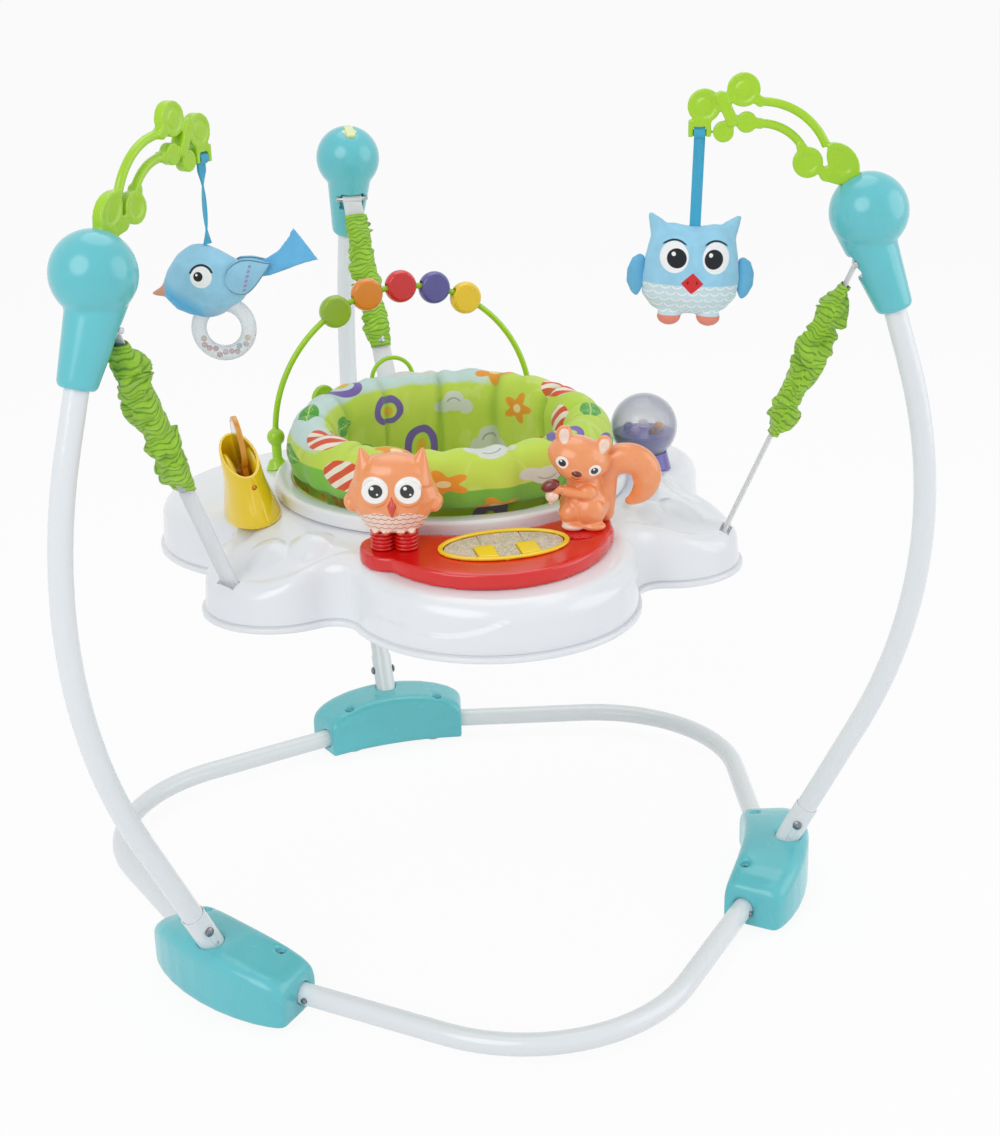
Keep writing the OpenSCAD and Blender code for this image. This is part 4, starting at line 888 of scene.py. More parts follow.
class JUMPER_OT_housings(bpy.types.Operator):
    """Foot housings, their screws and rubber feet"""

    bl_idname = "jumper.housings"
    bl_label = "Foot housings"

    screw_ring = 0.366
    screw_angle = math.radians(10.2)
    screw_seat = 0.0612
    screw_r = 0.0052
    screw_h = 0.003

    def execute(self, context):
        aqua = moulded("aqua_plastic", colours().aqua, 0.22)
        names = ["foot_housing_left", "foot_housing_right", "foot_housing_back"]
        dress_moulded(names, "frame", "turquoise_shell", aqua, sizes().mould_voxel, 16)
        dress(["rubber_feet"], "frame", "rubber_foot", soft_rubber("foot_rubber", srgb("DDE2E6")), 35)
        steel = bright_steel("screw_steel", srgb("A9ADB3"), 0.28)
        settle(new_object(self.screws(), "housing_screws", steel, 30), "frame", "dark_steel")
        return {"FINISHED"}

    def screws(self):
        """Pan-head screws with a socket, two in each housing."""
        bm = bmesh.new()
        for post in POSTS:
            for side in (-1, 1):
                way = turn_z(post + side * self.screw_angle)
                middle = (self.screw_ring, 0, self.screw_seat + self.screw_h / 2)
                made = bmesh.ops.create_cone(
                    bm, cap_ends=True, segments=24, radius1=self.screw_r, radius2=self.screw_r * 0.8,
                    depth=self.screw_h, matrix=at(AXIS) @ way @ at(middle),
                )
                self.socket(bm, made["verts"])
        return bm

    def socket(self, bm, verts):
        """Sinks a six-sided socket into a screw's top."""
        faces = {face for vert in verts for face in vert.link_faces if len(face.verts) > 4}
        top = max(faces, key=lambda face: face.calc_center_median().z)
        bmesh.ops.inset_individual(bm, faces=[top], thickness=self.screw_r * 0.4)
        made = bmesh.ops.extrude_discrete_faces(bm, faces=[top])
        low = [vert for face in made["faces"] for vert in face.verts]
        bmesh.ops.translate(bm, verts=low, vec=(0, 0, -self.screw_h / 2))


class JUMPER_OT_heads(bpy.types.Operator):
    """Ball heads, strap pins and the plug in the back head"""

    bl_idname = "jumper.heads"
    bl_label = "Heads"

    cap_radii = (14 * MM, 10 * MM, 3.6 * MM)
    cap_sunk = 1.8 * MM

    def execute(self, context):
        aqua = moulded("aqua_head_plastic", colours().aqua, 0.2, 0.35)
        heads = ["head_left", "head_right", "head_back"]
        dress_moulded(heads, "frame", "turquoise_shell", aqua, sizes().mould_voxel, 6)
        dress(["strap_pins"], "frame", "steel", bright_steel("pin_steel", srgb("C9CCD0"), 0.25))
        plug = moulded("plug_plastic", srgb("E6EFB4"), 0.3)
        dress(["socket_plug"], "frame", "plug_yellow", plug, 40, 0.8 * MM)
        settle(new_object(self.cap(), "plug_cap", plug, 60), "frame", "plug_yellow")
        return {"FINISHED"}

    def cap(self):
        """Oval cap of the plug, set on the back head's ball."""
        low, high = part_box("head_back")
        radius = (high.x - low.x) / 2
        ball = Vector(((low.x + high.x) / 2, (low.y + high.y) / 2, high.z - radius))
        low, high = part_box("socket_plug")
        out = ((low + high) / 2 - ball).normalized()
        bm = bmesh.new()
        turn = out.to_track_quat("Z", "Y").to_matrix().to_4x4()
        lump(bm, ball + out * (radius - self.cap_sunk), self.cap_radii, turn)
        return bm


class JUMPER_OT_arms(bpy.types.Operator):
    """Butterfly toy arms"""

    bl_idname = "jumper.arms"
    bl_label = "Toy arms"

    def execute(self, context):
        lime = moulded("lime_plastic", colours().lime, 0.24, 0.3)
        arms = ["toy_arm_left", "toy_arm_right"]
        dress_moulded(arms, "frame", "lime_plastic", lime, sizes().fine_voxel, 5)
        return {"FINISHED"}


class JUMPER_OT_straps(bpy.types.Operator):
    """Webbing straps and their anchor bars"""

    bl_idname = "jumper.straps"
    bl_label = "Straps"

    def execute(self, context):
        weave = woven_strap("strap_webbing", colours().tray, (0.6, 0.8, 0), (0, 0, 1))
        dress(["top_straps"], "frame", "webbing", weave, 40, 0.5 * MM)
        dress(["lower_straps"], "tray", "webbing", weave, 40, 0.5 * MM)
        steel = bright_steel("anchor_steel", srgb("B8BBC0"), 0.3)
        dress(["anchor_bars"], "tray", "steel", steel)
        return {"FINISHED"}


class JUMPER_OT_sleeves(bpy.types.Operator):
    """Strap springs and the gathered cotton sleeves over them"""

    bl_idname = "jumper.sleeves"
    bl_label = "Sleeves"

    rings = 170
    segments = 76
    wide = 0.0141
    deep = 0.0125
    end_share = 0.34
    spring_reach = 0.03
    cloth = 0.0008
    flat = (0.11, 0.26)
    bodies = ("frame", "tray")
    # How far each sleeve has slid up its strap
    slid = {"left": 0.010, "right": 0.0, "back": 0.004}

    def execute(self, context):
        finish = gathered_cotton("gathered_cotton", colours().sleeve)
        steel = bright_steel("spring_steel", srgb("B8BBC0"), 0.3)
        for number, (side, slid) in enumerate(self.slid.items()):
            node = "spring_sleeve_" + side
            start, end = self.ends(node)
            self.sleeve(node, start, end, finish, 7.3 * number, slid)
            self.spring("strap_spring_" + side, start, end, steel)
        return {"FINISHED"}

    def spring(self, name, start, end, steel):
        """The spring near one sleeve's axis."""
        down = (end - start).normalized()
        bm = cad_form("strap_springs")
        far = [vert for vert in bm.verts if (vert.co - start).cross(down).length > self.spring_reach]
        bmesh.ops.delete(bm, geom=far, context="VERTS")
        spanned(new_object(bm, name, steel), "strap_springs")

    def sleeve(self, node, start, end, finish, seed, slid):
        up = (start - end).normalized() * slid
        bm = self.tube(start + up, end + up, seed)
        obj = new_object(bm, node + "_cloth", finish, 180)
        wall = obj.modifiers.new("cloth", "SOLIDIFY")
        wall.thickness = self.cloth
        wall.offset = -1
        spanned(obj, node)

    def ends(self, node):
        """Upper and lower end of a sleeve's axis."""
        corners = points_of(node)
        middle = (corners.min(0) + corners.max(0)) / 2
        axis = np.linalg.svd(corners - corners.mean(0), full_matrices=False)[2][0]
        axis = axis * -np.sign(axis[2])
        reach = (corners - middle) @ axis
        return Vector(middle + axis * reach.min()), Vector(middle + axis * reach.max())

    def tube(self, start, end, seed):
        """The sleeve's skin, grown ring by ring down the strap."""
        run = end - start
        down = run.normalized()
        across = down.cross(Vector((0, 0, 1))).normalized()
        out = across.cross(down)
        bm = bmesh.new()
        uv = bm.loops.layers.uv.new("cloth")
        verts, edges = first_ring(bm, self.segments, 1)
        share = dict.fromkeys(verts, 0.0)
        for ring in range(1, self.rings + 1):
            verts, edges = next_ring(bm, edges)
            share.update(dict.fromkeys(verts, ring / self.rings))
        spin = {vert: math.atan2(vert.co.y, vert.co.x) for vert in bm.verts}
        for face in bm.faces:
            turns = [spin[loop.vert] / (2 * math.pi) for loop in face.loops]
            wraps = max(turns) - min(turns) > 0.5
            for loop, turn in zip(face.loops, turns):
                loop[uv].uv = (turn + 1 if wraps and turn < 0 else turn, share[loop.vert])
        for vert in bm.verts:
            angle, s = spin[vert], share[vert]
            girth = self.end_share + (1 - self.end_share) * ease(min(s, 1 - s) / 0.15)
            swell = self.swell(angle, s, seed)
            aside = (self.wide + girth * swell) * math.cos(angle)
            thick = girth * (self.deep + swell) * math.sin(angle)
            vert.co = start + run * s + across * aside + out * thick + down * self.slip(angle, s, seed)
        bmesh.ops.recalc_face_normals(bm, faces=bm.faces)
        return bm

    def swell(self, angle, s, seed):
        """Height of the gathers over the narrowest girth: ridges that wander, meet and part."""
        way = Vector((math.cos(angle), math.sin(angle), seed))
        drift = noise.noise(way * 0.8 + Vector((0, 0, 6 * s)))
        row = sizes().gathers * s + 1.3 * drift
        fold = 1 - min(1, 2.3 * abs(noise.noise(Vector((way.x * 0.6, way.y * 0.6, seed + row)))))
        patch = 0.65 + 1.5 * noise.noise(way * 0.7 + Vector((3, 1, 6 * s)))
        crumple = noise.noise(way * 2.8 + Vector((0, 5, 45 * s)))
        return sizes().gather_depth * fold**0.8 * min(1.25, max(0.12, patch)) + 0.0009 * crumple

    def slip(self, angle, s, seed):
        """Shift of a row along the sleeve, so that the gathers lean and meet."""
        ends = min(1.0, 10 * s, 10 * (1 - s))
        return 0.008 * ends * noise.noise(Vector((math.cos(angle), math.sin(angle), seed + 11 * s)))


class JUMPER_OT_tray(bpy.types.Operator):
    """Cloud-shaped tray shell with its mounds, wave ridge, lip and strap slots"""

    bl_idname = "jumper.tray"
    bl_label = "Tray"

    around = 540
    low = 0.427
    crown = 0.511
    slope = 0.16
    opening = 0.197
    bulge = (0.206, 0.160)
    lobe = (0.258, 0.087)
    waist = 0.028
    lobe_drop = 0.016
    lobe_from = 0.240
    # Where a lobe's drop begins past the bulge's middle and over how many degrees it comes
    lobe_turn = (38, 16)
    wall = 0.003
    flange = 0.006
    shoulder = 0.022
    skirt_lean = 0.002
    lip = 0.008
    lip_hollow = 0.003
    # Rolled lip: millimetres out from the skirt's foot and down from the lip's top
    roll = (
        (-0.2, 0.0), (0.4, -0.9), (1.6, -1.6), (3.2, -2.0),
        (5.2, -2.2), (6, -3.0), (6, -7.2), (5.2, -8),
    )
    # Rings of the skin over the top, the shoulder, the skirt and underneath
    rows = (40, 9, 18, 4)
    mound_r = 0.025
    mound_h = 0.009
    # Mounds: distance of the outer three, and distance and turn of the inner two
    mound_far = 0.276
    mound_near = 0.243
    mound_turn = math.radians(9)
    # Wave on the skirt: its height, half its rise, its softness and half its width in degrees
    wave_z = 0.470
    wave_rise = 0.016
    wave_soft = 0.0026
    wave_reach = 31
    slot = (0.011, 0.030)
    strap_ring = 0.322

    def execute(self, context):
        bulge_mid = Vector((self.bulge[0], 0))
        lobe_mid = self.lobe[0] * Vector((math.cos(math.pi / 3), math.sin(math.pi / 3)))
        self.mids = (bulge_mid, lobe_mid, self.waist_middle(bulge_mid, lobe_mid))
        self.mounds = [(post, self.mound_far) for post in POSTS]
        for inner in (LEFT + self.mound_turn, RIGHT - self.mound_turn):
            self.mounds.append((inner, self.mound_near))
        bm = self.shell()
        for post in POSTS:
            self.cut_slot(bm, post)
        bmesh.ops.transform(bm, matrix=tray_place(), verts=bm.verts)
        bmesh.ops.recalc_face_normals(bm, faces=bm.faces)
        finish = tray_plastic("white_tray_plastic", colours().tray)
        settle(new_object(bm, "tray_shell_moulding", finish, 50), "tray", "white_shell", "tray_shell")
        return {"FINISHED"}

    def waist_middle(self, bulge_mid, lobe_mid):
        """Middle of the hollow that is tangent to a bulge and a lobe."""
        a, b = self.bulge[1] + self.waist, self.lobe[1] + self.waist
        gap = lobe_mid - bulge_mid
        along = (a * a - b * b + gap.length_squared) / (2 * gap.length)
        aside = math.sqrt(a * a - along * along)
        way = gap.normalized()
        return bulge_mid + along * way + aside * Vector((way.y, -way.x))

    def folded(self, angle):
        """Angle past the nearest bulge's middle, up to a sixth of a turn."""
        turn = (angle + math.pi / 2) % (2 * math.pi / 3)
        return min(turn, 2 * math.pi / 3 - turn)

    def edge(self, angle, inset):
        """Distance of the outline, drawn in by an inset, from the tray's axis."""
        bulge_mid, lobe_mid, waist_mid = self.mids
        turn = self.folded(angle)
        if turn < self.touch(bulge_mid, self.bulge[1], inset):
            return self.ray(turn, bulge_mid, self.bulge[1] - inset, 1)
        if turn > self.touch(lobe_mid, self.lobe[1], inset):
            return self.ray(turn, lobe_mid, self.lobe[1] - inset, 1)
        return self.ray(turn, waist_mid, self.waist + inset, -1)

    def touch(self, middle, radius, inset):
        """Turn at which a bulge or a lobe runs into the hollow."""
        spot = middle + (self.mids[2] - middle) * (radius - inset) / (radius + self.waist)
        return math.atan2(spot.y, spot.x)

    def ray(self, turn, middle, radius, side):
        """Where a ray from the axis meets a circle, on its near or far side."""
        off = turn - math.atan2(middle.y, middle.x)
        reach = middle.length
        return reach * math.cos(off) + side * math.sqrt(max(0, radius**2 - (reach * math.sin(off)) ** 2))

    def top(self, angle, r):
        """Height of the top, which slopes outwards and drops on the lobes."""
        rim = self.edge(angle, self.flange + self.shoulder)
        begin, width = self.lobe_turn
        lobe = ease((math.degrees(self.folded(angle)) - begin) / width)
        fall = self.lobe_drop * lobe * ease((r - self.lobe_from) / (rim - self.lobe_from))
        return self.crown - self.slope * (r - self.opening) - fall

    def mound(self, angle, r):
        """Height of the round mounds on the lobes."""
        ball = (self.mound_r**2 + self.mound_h**2) / (2 * self.mound_h)
        spot = Vector((r * math.cos(angle), r * math.sin(angle)))
        height = 0
        for way, distance in self.mounds:
            off = (spot - distance * Vector((math.cos(way), math.sin(way)))).length
            if off < self.mound_r:
                height = max(height, math.sqrt(ball**2 - off**2) - ball + self.mound_h)
        return height

    def ridge(self, angle, z):
        """How far the wave on the front of the skirt stands proud."""
        turn = math.degrees((angle + math.pi / 2 + math.pi) % (2 * math.pi) - math.pi)
        rise = math.sin(math.pi * (turn + 4) / 24) if turn < 8 else 1 - 0.5 * ease((turn - 8) / 14)
        if turn <= -16:
            rise = -1 + 0.3 * ease((-16 - turn) / 12)
        line = self.wave_z + self.wave_rise * rise
        ends = ease((turn + self.wave_reach) / 5) * ease((self.wave_reach - turn) / 6)
        return sizes().ridge * ends * ease((line - z) / self.wave_soft + 0.5)

    def stations(self):
        """Rules from an angle to (distance, height), from the opening outwards, down and back inside."""
        top, bend, skirt, under = self.rows
        quarter = math.pi / 2
        rules = [partial(self.top_point, share=k / top) for k in range(top + 1)]
        rules += [partial(self.shoulder_point, turn=quarter * k / bend) for k in range(1, bend + 1)]
        rules += [partial(self.skirt_point, share=k / skirt) for k in range(1, skirt + 1)]
        rules += [partial(self.lip_point, out=out, down=down) for out, down in self.roll]
        rules += [partial(self.hollow_point, number=number) for number in range(4)]
        rules += [partial(self.under_point, share=1 - k / under) for k in range(under + 1)]
        return rules

    def rim_top(self, angle):
        return self.top(angle, self.edge(angle, self.flange + self.shoulder))

    def across(self, angle, share):
        """Distance at a share of the way from the opening to the shoulder."""
        return self.opening + (self.edge(angle, self.flange + self.shoulder) - self.opening) * share

    def top_point(self, angle, share):
        r = self.across(angle, share)
        return r, self.top(angle, r) + self.mound(angle, r)

    def under_point(self, angle, share):
        r = self.across(angle, share)
        return r, self.top(angle, r) - self.wall

    def lip_point(self, angle, out, down):
        return self.edge(angle, self.flange - out * MM), self.low + self.lip + down * MM

    def hollow_point(self, angle, number):
        """Inside of the lip and of the skirt, from the floor of the lip up to the shoulder."""
        inset = self.wall if number < 2 else self.flange + self.wall
        foot = self.low + self.lip
        levels = (self.low, self.low + self.lip_hollow, foot, self.rim_top(angle) - self.shoulder)
        return self.edge(angle, inset), levels[number]

    def shoulder_point(self, angle, turn):
        z = self.rim_top(angle) - self.shoulder * (1 - math.cos(turn))
        out = self.ridge(angle, z) * math.sin(turn)
        return self.edge(angle, self.flange + self.shoulder * (1 - math.sin(turn))) + out, z

    def skirt_point(self, angle, share):
        high = self.rim_top(angle) - self.shoulder
        z = high + (self.low + self.lip - high) * share
        out = self.ridge(angle, z) * (1 - share**4)
        return self.edge(angle, self.flange - self.skirt_lean * share) + out, z

    def shell(self):
        """Closed wall, grown ring by ring from the seat opening."""
        bm = bmesh.new()
        verts, edges = first_ring(bm, self.around, self.opening)
        first = edges
        for number, station in enumerate(self.stations()):
            if number:
                verts, edges = next_ring(bm, edges)
            for vert in verts:
                angle = math.atan2(vert.co.y, vert.co.x)
                r, z = station(angle)
                vert.co = (r * math.cos(angle), r * math.sin(angle), z)
        bmesh.ops.bridge_loops(bm, edges=edges + first)
        return bm

    def cut_slot(self, bm, post):
        """A slot through the wall where a strap goes down to its anchor bar."""
        way = Vector((math.cos(post), math.sin(post), 0))
        side = Vector((-way.y, way.x, 0))
        middle = way * self.slot_distance(post)
        half = (self.slot[0] / 2, self.slot[1] / 2)
        for normal, reach in ((way, half[0]), (-way, half[0]), (side, half[1]), (-side, half[1])):
            near = [face for face in bm.faces if self.off(face, middle, way, side) < 0.04]
            parts = set(near)
            parts.update(edge for face in near for edge in face.edges)
            parts.update(vert for face in near for vert in face.verts)
            bmesh.ops.bisect_plane(
                bm, geom=list(parts), dist=1e-7, plane_co=middle + normal * reach, plane_no=normal
            )
        gone = []
        for face in bm.faces:
            spot = face.calc_center_median() - middle
            if abs(spot.dot(way)) < half[0] and abs(spot.dot(side)) < half[1]:
                gone.append(face)
        bmesh.ops.delete(bm, geom=gone, context="FACES")
        bmesh.ops.bridge_loops(bm, edges=[edge for edge in bm.edges if edge.is_boundary])

    def off(self, face, middle, way, side):
        spot = face.calc_center_median() - middle
        return max(abs(spot.dot(way)), abs(spot.dot(side)))

    def slot_distance(self, post):
        """Distance from the axis at which a strap's line meets the tray's top."""
        corners = points_of("lower_straps") - np.array(AXIS)
        turn = np.array(turn_z(-TRAY_TURN).to_3x3())
        corners = corners @ turn.T
        way = np.array((math.cos(post), math.sin(post), 0))
        out = corners @ way
        mine = corners[(out > 0.2) & (np.abs(corners @ np.array((-way[1], way[0], 0))) < 0.06)]
        reach, height = mine @ way, mine[:, 2]
        fit = np.polyfit(height, reach, 1)
        level = self.top(post, self.strap_ring)
        return float(np.polyval(fit, level))


class JUMPER_OT_console(bpy.types.Operator):
    """Red console, yellow rim, glitter keys, yellow keys and switch"""

    bl_idname = "jumper.console"
    bl_label = "Console"

    def execute(self, context):
        red = moulded("red_plastic", colours().red, 0.2, 0.4)
        yellow = moulded("yellow_plastic", colours().yellow, 0.22, 0.35)
        dress_moulded(["console_body"], "tray", "red_plastic", red, 1.5 * MM, 12)
        dress_moulded(["console_rim"], "tray", "yellow_plastic", yellow, sizes().fine_voxel)
        clear = glitter("glitter_key")
        for node in ("key_clear_left", "key_clear_middle", "key_clear_right"):
            dress_moulded([node], body_of(node), "clear_key", clear, 0.8 * MM)
        for node in ("key_yellow_left", "key_yellow_right"):
            dress_moulded([node], body_of(node), "yellow_plastic", yellow, 0.7 * MM)
        dress_moulded(["mode_switch"], "switch", "red_plastic", red, 0.45 * MM, 2)
        return {"FINISHED"}


class JUMPER_OT_owl(bpy.types.Operator):
    """Owl figure on its ribbed legs"""

    bl_idname = "jumper.owl"
    bl_label = "Owl figure"

    leg_h = 22.4
    leg_at = 13
    leg_near = 9.6
    leg_share = 1.36
    eye = (17, 53)
    eye_r = 13.6
    pupil_r = 7.3
    beak_z = 35
    belly_top = 27
    # Scallops: width, height of a row, middle and radius of an arc, its line, softness and top
    scallop = (7.6, 5.6, 6, 4.1, 0.45, 0.4, 4)

    def execute(self, context):
        foot = underside("owl_legs")
        self.place = figure_place(foot, FIGURE_TURN) @ at((0, 0, self.leg_h * MM))
        finish = pearl("owl_pearl", colours().peach, self.place, self.coat)
        extra = bmesh.new()
        for side in (-1, 1):
            lump(extra, (side * 44, -1, 30), (7, 11, 10), turn_y(side * math.radians(28)))
            lean = at((side * 28, -1, 74)) @ turn_y(side * math.radians(14))
            bmesh.ops.create_cone(
                extra, cap_ends=True, segments=28, radius1=19, radius2=1.2, depth=36, matrix=lean
            )
            for spot in (8, 19):
                lump(extra, (side * spot, -15 + spot * 0.15, 1.5), (4.4, 5, 3.4))
        lump(extra, (0, 0, 62), (38, 24, 22.5))
        lump(extra, (0, -25, self.beak_z - 2), (4.2, 4.5, 10))
        bm = joined(cad_form("owl_figure"), to_place(extra, self.place))
        obj = new_object(rounded(bm, sizes().fine_voxel, 5), "owl_figure_moulding", finish, 60)
        settle(obj, "owl", "peach_plastic", "owl_figure")
        legs = moulded("leg_rubber", colours().red, 0.2, 0.4)
        form = reshaped(cad_form("owl_legs"), self.place, self.place, self.fuller)
        obj = new_object(form, "owl_legs_dressed", legs, 70)
        spanned(obj, "owl_legs")
        return {"FINISHED"}

    def fuller(self, x, y, z):
        """Thicker legs, closer together."""
        off = (x - math.copysign(self.leg_at, x)) * self.leg_share
        return math.copysign(self.leg_near, x) + off, y * self.leg_share, z

    def coat(self, x, y, z):
        """Eyes, narrow beak, scalloped belly of two arcs and red foot tufts on the front."""
        front = y.below(-4, 2)
        aside = abs(x)
        apart, high = self.eye
        off = round_distance(aside - apart, z - high)
        pupil = round_distance(aside - apart + 0.8, z - high + 0.6).below(self.pupil_r, 0.6) * front
        glint = round_distance(x % 34 - 14.2, z - high - 2.6).below(1.9, 0.5)
        glint = glint + round_distance(x % 34 - 19.5, z - high + 4).below(1.1, 0.5)
        line = scallops(x, z, *self.scallop)
        arcs = z + (aside - 15) * (aside - 15) * 0.022
        belly = arcs.below(self.belly_top, 0.6) * aside.below(36, 1) * front
        beak = (aside * 2.3 + abs(z - self.beak_z)).below(11.5, 1) * y.below(-19, 1)
        tufts = z.below(2.6, 0.6) * aside.above(3, 1) * front
        return (
            (belly, colours().cream),
            (belly * line, srgb("B9694E")),
            (tufts, srgb("D9482E")),
            (beak, srgb("D8402A")),
            (off.below(self.eye_r, 0.6) * front, EYE_WHITE),
            (pupil, PUPIL),
            (glint.clamp() * pupil, GLINT),
        )


class JUMPER_OT_squirrel(bpy.types.Operator):
    """Squirrel figure with its acorn"""

    bl_idname = "jumper.squirrel"
    bl_label = "Squirrel figure"

    head = Vector((-6, -3, 77))
    roll = math.radians(15)
    curl = Vector((45, 13, 49))
    # Tail's run about the middle of its curl: turn, distance and half thickness
    run = (
        (205, 24, 12), (150, 23, 16), (90, 21, 17.5), (45, 22, 17),
        (0, 23, 16), (-40, 25, 12), (-80, 28, 5),
    )
    # How far it stands aside of its joint's axis
    aside = -8

    def execute(self, context):
        self.place = figure_place(joint_point("squirrel_turn"), FIGURE_TURN)
        self.place = self.place @ at((self.aside * MM, 0, 0))
        face = self.place @ at(self.head * MM) @ turn_y(self.roll)
        bm = bmesh.new()
        self.body(bm)
        self.tail(bm)
        finish = pearl("squirrel_pearl", colours().peach, face, self.coat)
        form = rounded(to_place(bm, self.place), sizes().fine_voxel, 5)
        obj = new_object(form, "squirrel_moulding", finish, 60)
        settle(obj, "squirrel", "peach_plastic", "squirrel_figure")
        nut = pearl("acorn_plastic", srgb("7A1D16"), self.place, self.nut_coat)
        settle(new_object(self.nut(), "squirrel_acorn", nut, 50), "squirrel", "red_plastic")
        return {"FINISHED"}

    def body(self, bm):
        """Trunk, haunches, feet, arm, head and ears."""
        lump(bm, (1, 2, 23), (27, 22, 25))
        lump(bm, (0, 1, 44), (19, 16, 24))
        lump(bm, (6, -12, 19), (17.5, 13, 17.5))
        lump(bm, (-14, -9, 16), (13, 13, 14))
        for side in (-1, 1):
            lump(bm, (side * 11, -17, 4.5), (13, 9.4, 5))
        lump(bm, (3, -14, 41), (11, 8, 10))
        lump(bm, (-14, -19, 44), (19, 6, 6), turn_y(math.radians(16)))
        lump(bm, (-29, -22, 49), (6.5, 6, 6))
        tilt = at(self.head) @ turn_y(self.roll)
        parts = (
            ((0, 0, 1), (34, 26, 23)),
            ((0, -6, -8), (25, 20, 15)),
            ((-22, 1, 21), (9, 6.5, 10.5)),
            ((22, 1, 21), (9, 6.5, 10.5)),
            ((0, -25, -9), (5.4, 3.4, 3.4)),
        )
        for centre, radii in parts:
            lump(bm, tilt @ Vector(centre), radii, turn_y(self.roll))

    def tail(self, bm):
        """Bushy tail, up the back and curled over."""
        for share in np.linspace(0, 1, 12):
            lump(bm, (23 + 3 * share, 11, 9 + 42 * share), (11, 9, 11))
        turns, reaches, halves = (np.array(column) for column in zip(*self.run))
        for turn in np.linspace(turns[0], turns[-1], 48):
            reach = np.interp(-turn, -turns, reaches)
            half = np.interp(-turn, -turns, halves)
            way = Vector((math.cos(math.radians(turn)), 0, math.sin(math.radians(turn))))
            lump(bm, self.curl + way * reach, (half, half * 0.8, half))

    def nut(self):
        """Acorn held to the mouth: a long nut over its round cup."""
        bm = bmesh.new()
        lump(bm, (-36, -23, 53), (10.5, 6.6, 6.6), turn_y(math.radians(-24)))
        lump(bm, (-34, -22, 41), (7.4, 7, 7))
        lump(bm, (-35, -22, 34), (3, 3, 3))
        return rounded(to_place(bm, self.place), 0.6 * MM, 3)

    def nut_coat(self, x, y, z):
        """Pale cup under the dark nut."""
        return (((z - x * 0.2).below(54, 0.8), colours().cream),)

    def coat(self, x, y, z):
        """Eyes, nose, mouth, pale ears and feet, in the tilted head's own frame."""
        front = y.below(-6, 3) * z.above(-24, 2)
        aside = abs(x)
        off = round_distance(aside - 18, z + 2)
        pupil = round_distance(aside - 17.6, z + 2.4)
        glint = round_distance(x % 36 - 16.6, z + 0.6).below(1.1, 0.4)
        ear = round_distance((aside - 22) / 5.5, (z - 22) / 7).below(1, 0.12) * y.below(2, 2)
        nose = round_distance(x / 5.6, (z + 9) / 3.4).below(1, 0.12)
        smile = abs(round_distance(x, z + 9.5) - 6.4).below(0.5, 0.4) * z.below(-14, 1)
        feet = z.below(-69, 2) * y.below(-10, 4)
        return (
            (ear * z.above(10, 3), colours().cream),
            (feet, colours().cream),
            (off.below(6.6, 0.5) * front, EYE_WHITE),
            (pupil.below(4, 0.5) * front, PUPIL),
            (glint * front, GLINT),
            ((nose + smile).clamp() * front, srgb("6A1F17")),
        )


class JUMPER_OT_mirror(bpy.types.Operator):
    """Yellow pedestal and its mirror paddle"""

    bl_idname = "jumper.mirror"
    bl_label = "Mirror paddle"

    pedestal_turn = math.radians(187)
    crown_lean = math.atan(0.16)
    mouth_slant = math.radians(26)
    # Middle and half thickness of each cheek across the paddle
    cheek_x = ((-12.6, 5.2), (15.4, 6.4))
    disc_z = 43
    disc = (20, 31)
    frame_w = 5

    def execute(self, context):
        yellow = moulded("pedestal_plastic", colours().yellow, 0.2, 0.4)
        dress(["pedestal"], "tray", "yellow_plastic", yellow, 40, 0.8 * MM)
        lean = turn_z(TRAY_TURN + self.pedestal_turn) @ turn_y(self.crown_lean)
        place = at(joint_point("mirror_rock")) @ lean
        cheeks = new_object(to_place(self.cheeks(), place), "pedestal_cheeks", yellow, 60)
        settle(cheeks, "tray", "yellow_plastic")
        f = Finish("amber_mirror")
        _, y, z = f.local(place)
        wide, tall = (half - self.frame_w for half in self.disc)
        film = round_distance(y / wide, (z - self.disc_z) / tall).below(1, 0.06)
        cloudy = f.noise(60, 4)
        streaks = cloudy.above(0.5, 0.3) * 0.4
        f.material.surface_render_method = "BLENDED"
        f.set(
            base_color=f.paint(srgb("F7A01E"), (streaks, srgb("FBC75A")), (film, srgb("C9CDD2"))),
            metallic=film,
            roughness=0.14 + cloudy * 0.12 - film * 0.08,
            alpha=0.82 + film * 0.18,
            coat_weight=0.4,
        )
        dress_moulded(["mirror_paddle"], "mirror", "orange_clear", f, 0.8 * MM, 3)
        return {"FINISHED"}

    def cheeks(self):
        """Full inner sides of the pedestal's mouth, clear of the rocking paddle."""
        bm = bmesh.new()
        for across, half in self.cheek_x:
            lump(bm, (across, 0, 11), (half, 29, 16), turn_x(-self.mouth_slant))
        return bm


